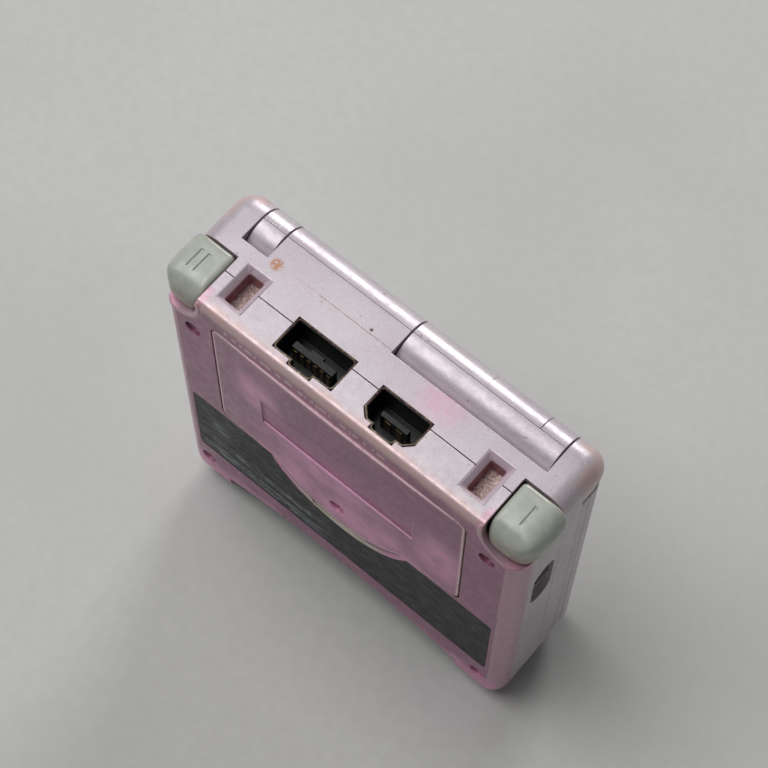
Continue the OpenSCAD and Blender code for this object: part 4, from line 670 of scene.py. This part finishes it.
def cover_paint():
    """Mauve cover darkened as painted shade, painted highlights along its raised outline and round the
    plate's edge, rose wear round the plate and an even plate.
    """
    f = Finish("cover_paint", rough=0.34, metal=0.2, coat=0.25, coat_rough=0.3)
    paint_grains(f)
    colour = shaded_mauve_field(f)
    glow = f.most(*(f.spot(*place) for place in GLOWS))
    haze = f.step(f.grain(0.16, 4.0, 0.55, offset=0.013), 0.28, 0.64, 0.35, 1.0)
    colour = f.mix(f.all(glow, haze, f.step(f.mid, 0.2, 0.7, 0.7, 1.0)), colour, ROSE)
    plate = f.box_away(f.x, f.z, PLATE_AT, PLATE_HALF, 0.4)
    colour = f.mix(f.all(f.under(plate, -0.1, 0.2), 0.75), colour, seen(172, 108, 142))
    # Painted highlight: a light line round the name plate's edge.
    colour = f.mix(f.all(f.band(plate, 0.05, 0.12, 0.14), 0.55), colour, seen(206, 164, 186))
    # Painted highlight: a light line along the cover's raised outline, broken up by noise.
    rim_highlight = f.sum("MINIMUM", f.box_away(f.x, f.z, COVER_AT, COVER_HALF, COVER_R), past_tongue(f))
    rim_highlight = f.all(f.over(ragged(f, rim_highlight, f.mid, 0.3), -0.36, 0.3), f.step(f.mid, 0.25, 0.5, 0.5, 1.0))
    colour = f.mix(f.all(rim_highlight, 0.9), colour, seen(234, 198, 204))
    return f.done(colour, f.step(f.mid, 0.3, 0.7, 0.28, 0.44))


def lid_paint():
    """Pearl paint of the lid: scuffs on the long knuckle, worn rings on the short one."""
    f = Finish("lid_paint", rough=0.34, metal=0.28, coat=0.25, coat_rough=0.28)
    colour = pearl_ground(f)
    barrel = f.over(f.z, 76.0, 1.0)
    scuffs = f.step(f.grain(1.1, 3.0, 0.6, stretch=(1.0, 0.12, 0.12)), 0.63, 0.70)
    scuffs = f.all(scuffs, barrel, f.over(f.y, 9.4, 1.2), f.step(f.x, 8.0, 10.0), f.under(f.x, 27.0, 3.0))
    colour = f.mix(f.all(scuffs, 0.7), colour, seen(128, 110, 122))
    rings = f.most(*(f.band(ragged(f, f.x, f.mid, 0.3), at, 0.03, 0.07) for at in RING_XS))
    rings = f.all(rings, barrel, f.step(f.grain(0.4, 1.0), 0.4, 0.55), f.under(f.y, 9.0, 1.0), 0.6)
    colour = f.mix(rings, colour, seen(240, 232, 238))
    return f.done(colour, f.step(f.mid, 0.3, 0.7, 0.28, 0.42))


def inner_paint():
    """Lilac face of the lid's inside; its sides and its knuckles are pearl like the outer casing."""
    f = Finish("inner_paint", rough=0.38, metal=0.24, coat=0.2, coat_rough=0.3)
    colour = pearl_ground(f)
    lilac = f.mix(f.step(f.mid, 0.3, 0.7), seen(190, 164, 178), seen(200, 176, 188))
    colour = f.mix(f.all(f.under(f.y, LID_FACE + 0.3, 0.3), f.under(f.z, 74.5, 0.5)), colour, lilac)
    return f.done(colour, f.step(f.mid, 0.3, 0.7, 0.30, 0.44))


cover_coat, lid_coat, inner_coat = cover_paint(), lid_paint(), inner_paint()
print("paints of the cover, the lid's outside and the lid's inside")

# %% [markdown]
# ## Other finishes
#
# The shoulder buttons are bare sage plastic, yellowed and grimy at their low edges. The label is
# a slate-black film with scuffs and bleached streaks. The sockets are black, with a thin ring of
# brown and brassy dirt at the mouth. The hook pockets have collected grey-beige dust, and their
# walls are darkened with painted shade. Pieces inside get two close tones of one colour each.

# %% Buttons, label, sockets and pockets
def sage_plastic():
    """Sage plastic: faint clouds, tiny pits, and brown grime near the low edges."""
    f = Finish("sage_plastic", rough=0.36, coat=0.3, coat_rough=0.22)
    mid, pits = f.grain(0.5, 3.0), f.grain(5.0, 2.0)
    colour = f.mix(f.step(mid, 0.3, 0.7), seen(173, 178, 169), seen(163, 167, 157))
    colour = f.mix(f.step(pits, 0.25, 0.4, 0.35, 0.0), colour, seen(152, 150, 138))
    slope = f.sum("ADD", f.z, f.sum("MULTIPLY", f.sum("ADD", f.y, 11.4), 0.8))
    low = f.all(f.step(slope, 80.2, 83.6, 1.0, 0.0), f.over(f.z, 74.0, 1.0))
    low = f.most(low, f.all(f.over(f.y, -1.2, 0.7), f.over(f.z, 70.0, 1.0), 0.5))
    low = f.all(low, f.step(f.grain(0.7, 3.0), 0.30, 0.66, 0.25, 0.85))
    colour = f.mix(low, colour, seen(152, 124, 104))
    f.bump(pits, 0.01, 0.4)
    return f.done(colour, f.step(mid, 0.3, 0.7, 0.28, 0.42))


def label_film():
    """Slate film: scuffs along its length, pale dust, and bleached streaks at one end."""
    f = Finish("label_film", rough=0.5, spec=0.35)
    scuff = f.grain(0.35, 4.0, 0.65, stretch=(1.0, 1.0, 2.6))
    colour = f.mix(f.step(scuff, 0.35, 0.75), seen(21, 23, 26), seen(30, 33, 37))
    specks = f.grain(3.0, 2.0)
    colour = f.mix(f.step(specks, 0.64, 0.72, 0.0, 0.45), colour, seen(128, 126, 126))
    end = f.all(f.over(f.x, -33.0, 3.0), f.under(f.x, -8.0, 8.0))
    rows = f.most(f.band(f.z, 20.0, 1.3, 0.9), f.band(f.z, 24.6, 0.6, 0.9),
                  f.all(f.spot((-29.5, BATTERY_FACE, 32.0), 1.5, 2.5), 0.8))
    smear = f.step(f.grain(0.8, 4.0, 0.7, stretch=(0.6, 1.0, 1.6)), 0.42, 0.64)
    colour = f.mix(f.all(end, rows, smear, 0.7), colour, seen(150, 160, 166))
    arc = ragged(f, past_tongue(f, LABEL_GAP), scuff, 1.6)
    torn = f.all(f.under(arc, 0.35, 0.3), f.under(f.z, 40.4, 0.4), f.under(f.x, -7.0, 2.0))
    colour = f.mix(f.all(torn, 0.8), colour, seen(196, 142, 150))
    f.bump(scuff, 0.02, 0.4)
    return f.done(colour, f.step(scuff, 0.3, 0.7, 0.38, 0.6))


def socket_plastic():
    """Black plastic, dusty on its ledges."""
    f = Finish("socket_plastic", rough=0.46, spec=0.35)
    dust = f.grain(2.0, 3.0)
    colour = f.mix(f.step(dust, 0.50, 0.75, 0.0, 0.3), seen(13, 14, 16), seen(44, 44, 46))
    f.bump(dust, 0.02, 0.4)
    return f.done(colour, f.step(dust, 0.3, 0.7, 0.30, 0.5))


def brassy_dirt():
    """Thin ring of old dirt: broken brown, paler and brassy towards the battery face."""
    f = Finish("brassy_dirt", rough=0.55, metal=0.2)
    crumbs = f.grain(1.6, 4.0, 0.7)
    colour = f.mix(f.step(crumbs, 0.38, 0.6), seen(112, 82, 66), seen(52, 36, 32))
    pale = f.all(f.under(f.y, -7.2, 1.5), f.step(crumbs, 0.35, 0.5, 0.9, 0.3))
    colour = f.mix(pale, colour, seen(168, 146, 122))
    f.bump(crumbs, 0.05, 0.8)
    return f.done(colour, f.step(crumbs, 0.3, 0.7, 0.4, 0.7))


def pocket_dust_and_shade():
    """Pocket: pearl bevels, walls darkened red-brown as painted shade, and a floor of grey-beige dust with
    dark crumbs.
    """
    f = Finish("pocket_dust_and_shade", rough=0.5, metal=0.1)
    colour = pearl_ground(f)
    colour = f.mix(0.25, colour, seen(196, 150, 170))
    # Painted shade: the walls inside the pocket are darkened to red-brown.
    walls = f.mix(f.step(f.mid, 0.3, 0.7), seen(160, 98, 104), seen(120, 70, 72))
    colour = f.mix(f.all(f.under(f.z, 83.2, 0.5), 0.85), colour, walls)
    fluff = f.grain(2.0, 4.0, 0.75)
    dust = f.mix(f.step(fluff, 0.36, 0.62), seen(222, 202, 196), seen(146, 116, 112))
    dust = f.mix(f.step(f.grain(3.2, 1.0, offset=0.02), 0.66, 0.72, 0.0, 0.8), dust, seen(76, 52, 46))
    colour = f.mix(f.under(f.z, 80.35, 0.25), colour, dust)
    return f.done(colour, f.step(f.mid, 0.3, 0.7, 0.45, 0.7))


def grained(name, dark, light, per_mm, rough, **shader):
    """Two close tones of one colour in clouds, with a fine relief."""
    f = Finish(name, rough, **shader)
    cloud, fine = f.grain(per_mm, 3.0), f.grain(per_mm * 6, 2.0)
    colour = f.mix(f.step(cloud, 0.3, 0.7), seen(*dark), seen(*light))
    f.bump(fine, 0.01, 0.4)
    return f.done(colour, f.step(cloud, 0.3, 0.7, rough - 0.06, rough + 0.08))


looks = {
    "black_plastic": grained("black_plastic", (26, 26, 28), (40, 40, 42), 1.0, 0.5),
    "board": grained("board", (18, 70, 44), (30, 92, 58), 0.8, 0.4),
    "gold": grained("gold", (88, 70, 44), (122, 98, 60), 2.0, 0.34, metal=0.9),
    "steel": grained("steel", (128, 128, 130), (172, 172, 174), 2.0, 0.34, metal=0.95),
    "grey_rubber": grained("grey_rubber", (96, 98, 99), (112, 114, 114), 1.5, 0.75),
    "white_plastic": grained("white_plastic", (214, 214, 206), (228, 228, 222), 1.0, 0.3),
    "panel": grained("panel", (72, 80, 80), (88, 96, 94), 0.3, 0.15),
    "cell": grained("cell", (58, 60, 66), (78, 80, 88), 0.5, 0.5),
    "ribbon": grained("ribbon", (166, 96, 30), (196, 122, 48), 1.0, 0.4),
    "lens": grained("lens", (26, 28, 30), (34, 37, 39), 0.3, 0.12, coat=0.6, coat_rough=0.05),
    "screws": grained("screws", (150, 84, 96), (176, 108, 118), 1.2, 0.28, coat=0.5, coat_rough=0.1),
    "shell_paint": case,
    "inner_paint": inner_coat,
    "sage_plastic": sage_plastic(),
    "label": label_film(),
}
socket_black, dirt, pocket_look = socket_plastic(), brassy_dirt(), pocket_dust_and_shade()
PAINTED_SCREWS = ("base_screws", "battery_cover_screw")
record_slot = {s["node"]: s["material_slot"] for s in frame["record"]["subparts"]}
for name, obj in NODES.items():
    obj.data.materials.clear()
    obj.data.materials.append(looks["screws" if name in PAINTED_SCREWS else record_slot[name]])
print("finishes on", len(NODES), "nodes")

# %% [markdown]
# ## The moulded pieces in place
#
# The moulded pieces that the eye can reach get a softened copy. The casings' edges are rounded
# by about 0.12 mm, those of the pad and the round buttons by more.

# %% Soft pieces in place
for node, body, finish, slot_name, width in (
    ("base_lower_shell", "base", case, "shell_paint", 0.12),
    ("base_upper_shell", "base", case, "shell_paint", 0.12),
    ("hinge_cover", "base", case, "shell_paint", 0.10),
    ("hinge_end_cap", "lid", lid_coat, "shell_paint", 0.10),
    ("lid_outer_shell", "lid", lid_coat, "shell_paint", 0.12),
    ("lid_inner_shell", "lid", inner_coat, "inner_paint", 0.12),
    ("battery_cover", "battery_cover", cover_coat, "shell_paint", 0.2),
    ("link_port", "base", socket_black, "black_plastic", 0.1),
    ("power_port", "base", socket_black, "black_plastic", 0.1),
    ("volume_slider", "volume_slider", looks["black_plastic"], "black_plastic", 0.1),
    ("power_slider", "power_slider", looks["black_plastic"], "black_plastic", 0.1),
    ("dpad", "dpad", looks["sage_plastic"], "sage_plastic", 0.3),
    ("button_a", "button_a", looks["sage_plastic"], "sage_plastic", 0.4),
    ("button_b", "button_b", looks["sage_plastic"], "sage_plastic", 0.4),
    ("start_button", "start_button", looks["sage_plastic"], "sage_plastic", 0.15),
    ("select_button", "select_button", looks["sage_plastic"], "sage_plastic", 0.15),
    ("light_button", "light_button", looks["sage_plastic"], "sage_plastic", 0.15),
    ("screen_lens", "lid", looks["lens"], "lens", 0.1),
    ("lid_pads", "lid", looks["grey_rubber"], "grey_rubber", 0.15),
):
    soft = softened(node, finish, body, slot_name, width)
    print(soft.name, len(soft.data.polygons))

# %% [markdown]
# ## The shoulder buttons in place
#
# The outlines were fitted to the silhouettes in the photograph. Plain bars, one on the left and
# two on the right, are pressed into the rear face: the surface sinks by a quarter of a
# millimetre wherever it lies inside a bar.

# %% Shoulder buttons
BUTTON_LOW, BUTTON_HIGH = (31.6, -11.4, 76.6), (40.9, -1.0, 84.5)
RADII_XY, RADII_XZ, RADII_YZ = (2.4, 5.4, 1.2, 1.0), (5.8, 3.8, 4.3, 1.2), (3.2, 1.2, 1.2, 4.6)
BUTTON_BLEND = 0.3
BUTTON_ROWS, BUTTON_COLS = 150, 216
BAR_HALF, BAR_Y = (0.27, 2.0), -5.6
BAR_DEPTH, BAR_SOFT = 0.25, 0.15
BAR_ABOVE_Z = 82.5


def points_of(mesh):
    """The mesh's vertices as an array (vertex, xyz)."""
    co = np.empty(len(mesh.vertices) * 3)
    mesh.vertices.foreach_get("co", co)
    return co.reshape(-1, 3)


def shoulder_button(side, node, body, bars):
    """One soft lump on a rear corner, with bars pressed in; its outer side is +X for side 1.

    A bar's depth fades as 1 - smoothstep over BAR_SOFT round its outline."""
    obj = soft_block(node + "_soft", BUTTON_LOW, BUTTON_HIGH, RADII_XY, RADII_XZ, RADII_YZ,
                     BUTTON_BLEND, BUTTON_ROWS, BUTTON_COLS)
    co = points_of(obj.data)
    for bar in bars:
        away = np.maximum(np.abs(co[:, 0] - bar) - BAR_HALF[0], np.abs(co[:, 1] - BAR_Y) - BAR_HALF[1])
        t = np.clip(1 - away / BAR_SOFT, 0, 1) * (co[:, 2] > BAR_ABOVE_Z)
        co[:, 2] -= BAR_DEPTH * t * t * (3 - 2 * t)
    co *= MM
    co[:, 0] *= side
    obj.data.vertices.foreach_set("co", co.ravel())
    if side < 0:
        obj.data.flip_normals()
    smooth_by_angle(obj.data, 75)
    return finish_mesh(obj, looks["sage_plastic"], body, "sage_plastic", node)


shoulder_button(1, "shoulder_button_left", "shoulder_left", (36.0,))
shoulder_button(-1, "shoulder_button_right", "shoulder_right", (35.2, 36.8))
print("two shoulder buttons")

# %% [markdown]
# ## Lips round the shoulder buttons
#
# On the battery face a raised lip follows each corner cut: down its inner side, round the
# corner and out to the side column. It is a tube of flat oval section whose middle runs on the
# casing's own surface, so that it bends back with the rounded side and rear edges.

# %% Shoulder lips
LIP_HALF = (0.52, 0.24)
LIP_OVERLAP = 0.06
LIP_TOP_Z, LIP_END_X = 84.3, 39.4
LIP_FADES = (0.08, 0.15)
LIP_STEPS, LIP_SIDES = (20, 40, 15), 20
SIDE_R, REAR_R = 3.4, 1.2
ARC_SHARE = 0.97


def case_surface(x, z):
    """Y of the casing's outer surface and its normal, with the side edge's and the rear edge's
    rounds: y = face + r - sqrt(r*r - past*past) past the start of each arc."""
    a = np.clip(x - (SIDE_FACE - SIDE_R), 0, ARC_SHARE * SIDE_R)
    b = np.clip(z - (REAR_FACE - REAR_R), 0, ARC_SHARE * REAR_R)
    drop_a, drop_b = np.sqrt(SIDE_R**2 - a * a), np.sqrt(REAR_R**2 - b * b)
    y = BATTERY_FACE + SIDE_R - drop_a + REAR_R - drop_b
    normal = np.stack([a / drop_a, -np.ones_like(a), b / drop_b], -1)
    return y, normal / np.linalg.norm(normal, axis=1, keepdims=True)


def shoulder_lip(side):
    """Lip of one corner cut: ring k is P + B a cos t + N h sin t, with N the casing's normal and B
    across the path; both half sizes fade to nothing at the ends."""
    r = LIP_R + LIP_HALF[0] - LIP_OVERLAP
    cx, cz = LIP_AT[0] + LIP_R, LIP_AT[1] + LIP_R
    n_down, n_bend, n_out = LIP_STEPS
    fall = np.linspace(LIP_TOP_Z, cz, n_down, endpoint=False)
    down = np.column_stack([np.full(n_down, cx - r), fall])
    turn_by = np.linspace(math.pi, 1.5 * math.pi, n_bend)
    bend = np.column_stack([cx + r * np.cos(turn_by), cz + r * np.sin(turn_by)])
    out = np.column_stack([np.linspace(cx, LIP_END_X, n_out + 1)[1:], np.full(n_out, cz - r)])
    path = np.vstack([down, bend, out])
    y, normal = case_surface(path[:, 0], path[:, 1])
    p = np.column_stack([path[:, 0], y, path[:, 1]])
    along = np.gradient(p, axis=0)
    along /= np.linalg.norm(along, axis=1, keepdims=True)
    across = np.cross(along, normal)
    across /= np.linalg.norm(across, axis=1, keepdims=True)
    run = np.linspace(0, 1, len(p))
    fade = np.minimum(np.clip(run / LIP_FADES[0], 0, 1), np.clip((1 - run) / LIP_FADES[1], 0, 1)) ** 0.5
    t = np.arange(LIP_SIDES) / LIP_SIDES * 2 * math.pi
    rings = (p[:, None] + across[:, None] * (LIP_HALF[0] * fade[:, None] * np.cos(t))[..., None]
             + normal[:, None] * (LIP_HALF[1] * fade[:, None] * np.sin(t))[..., None])
    rings[..., 0] *= side
    obj = skin("shoulder_lip_left" if side > 0 else "shoulder_lip_right", rings * MM)
    smooth_by_angle(obj.data, 80)
    return finish_mesh(obj, case, "base", "shell_paint")


for side in (1, -1):
    print(shoulder_lip(side).name)

# %% [markdown]
# ## Hook pockets and the sockets' rims
#
# Each hook pocket has a wide bevel that narrows to a smaller hole. The CAD holds the clear
# space; a thin liner inside it gives the bevel, the walls and the dusty floor. Each socket is
# ringed by a fine bead that follows its outline.

# %% Pocket liners and socket rims
POCKET_AT = (26.5, -4.72)
POCKET_LOOPS = (
    (1.9, 3.4, 0.3, 80.02), (2.2, 3.68, 0.3, 80.0), (2.23, 3.7, 0.3, 81.5), (2.25, 3.7, 0.3, 83.9),
    (2.72, 4.2, 0.35, 84.5), (2.74, 4.25, 0.35, 84.57), (2.64, 4.16, 0.35, 84.6),
    (2.45, 3.98, 0.4, 84.45), (1.76, 3.40, 0.3, 83.62), (1.64, 3.28, 0.3, 83.45),
    (1.6, 3.24, 0.3, 83.2), (1.58, 3.2, 0.3, 80.6), (1.5, 3.1, 0.3, 80.3),
)
LOOP_POINTS, BEAD_POINTS, BEAD_SIDES = 96, 240, 10
BEAD_OUT = 0.30
BEAD_Z, BEAD_HALF_WIDTH, BEAD_HALF_HEIGHT = 84.44, 0.15, 0.12


def pocket_liner(side):
    """Liner of a hook pocket as a stack of rounded rectangles: up its hidden outside, over the
    bevel and down the walls to the floor. Each loop is (half width, half height, radius, z)."""
    mid = np.array([POCKET_AT[0] * side, POCKET_AT[1]])
    rings = []
    for a, b, r, z in POCKET_LOOPS:
        flat = rounded_outline([(-a, -b), (a, -b), (a, b), (-a, b)], [r] * 4, LOOP_POINTS)
        rings.append(np.column_stack([flat + mid, np.full(len(flat), z)]))
    name = "pocket_liner_left" if side > 0 else "pocket_liner_right"
    obj = skin(name, np.array(rings) * MM)
    smooth_by_angle(obj.data, 35)
    return finish_mesh(obj, pocket_look, "base", "shell_paint")


def rim_bead(name, corners, radii):
    """Flattened bead along an outline: ring a is the loop moved inwards by w cos a, at z + h sin a."""
    loop = inset(rounded_outline(corners, radii, BEAD_POINTS), -BEAD_OUT)
    rings = []
    for a in np.arange(BEAD_SIDES) / BEAD_SIDES * 2 * math.pi:
        z = np.full(len(loop), BEAD_Z + BEAD_HALF_HEIGHT * math.sin(a))
        rings.append(np.column_stack([inset(loop, BEAD_HALF_WIDTH * math.cos(a)), z]))
    rings = np.array(rings + rings[:1]) * MM
    obj = skin(name, rings, False, False)
    bm = bmesh.new()
    bm.from_mesh(obj.data)
    bmesh.ops.remove_doubles(bm, verts=bm.verts, dist=MERGE)
    bmesh.ops.recalc_face_normals(bm, faces=bm.faces)
    bm.to_mesh(obj.data)
    bm.free()
    smooth_by_angle(obj.data, 80)
    return finish_mesh(obj, dirt, "base", "black_plastic")


for side in (1, -1):
    print(pocket_liner(side).name)

LOW_Y, NOTCH_HALF, NOTCH, CHAMFER = -9.15, 2.1, 0.95, 1.5
LINK_X, LINK_TOP_Y = (-15.5, -3.4), -2.95
POWER_X, POWER_TOP_Y = (3.4, 13.5), -3.45


def key_notch(mid):
    """Corners of the key notch in a socket's lower side, and their radii."""
    a, b = mid - NOTCH_HALF, mid + NOTCH_HALF
    return [(a, LOW_Y), (a, LOW_Y - NOTCH), (b, LOW_Y - NOTCH), (b, LOW_Y)], [0.3, 0.5, 0.5, 0.3]


(x0, x1), top = LINK_X, LINK_TOP_Y
notch, notch_radii = key_notch((x0 + x1) / 2)
rim_bead("link_rim", [(x0, top), (x0, LOW_Y), *notch, (x1, LOW_Y), (x1, top)],
         [0.6, 0.6, *notch_radii, 0.6, 0.6])
(x0, x1), top = POWER_X, POWER_TOP_Y
notch, notch_radii = key_notch((x0 + x1) / 2)
rim_bead("power_rim", [(x0, top), (x0, LOW_Y + CHAMFER), (x0 + CHAMFER, LOW_Y), *notch,
                       (x1 - CHAMFER, LOW_Y), (x1, LOW_Y + CHAMFER), (x1, top)],
         [0.6, 0.4, 0.4, *notch_radii, 0.4, 0.4, 0.6])
print("pockets and rims")
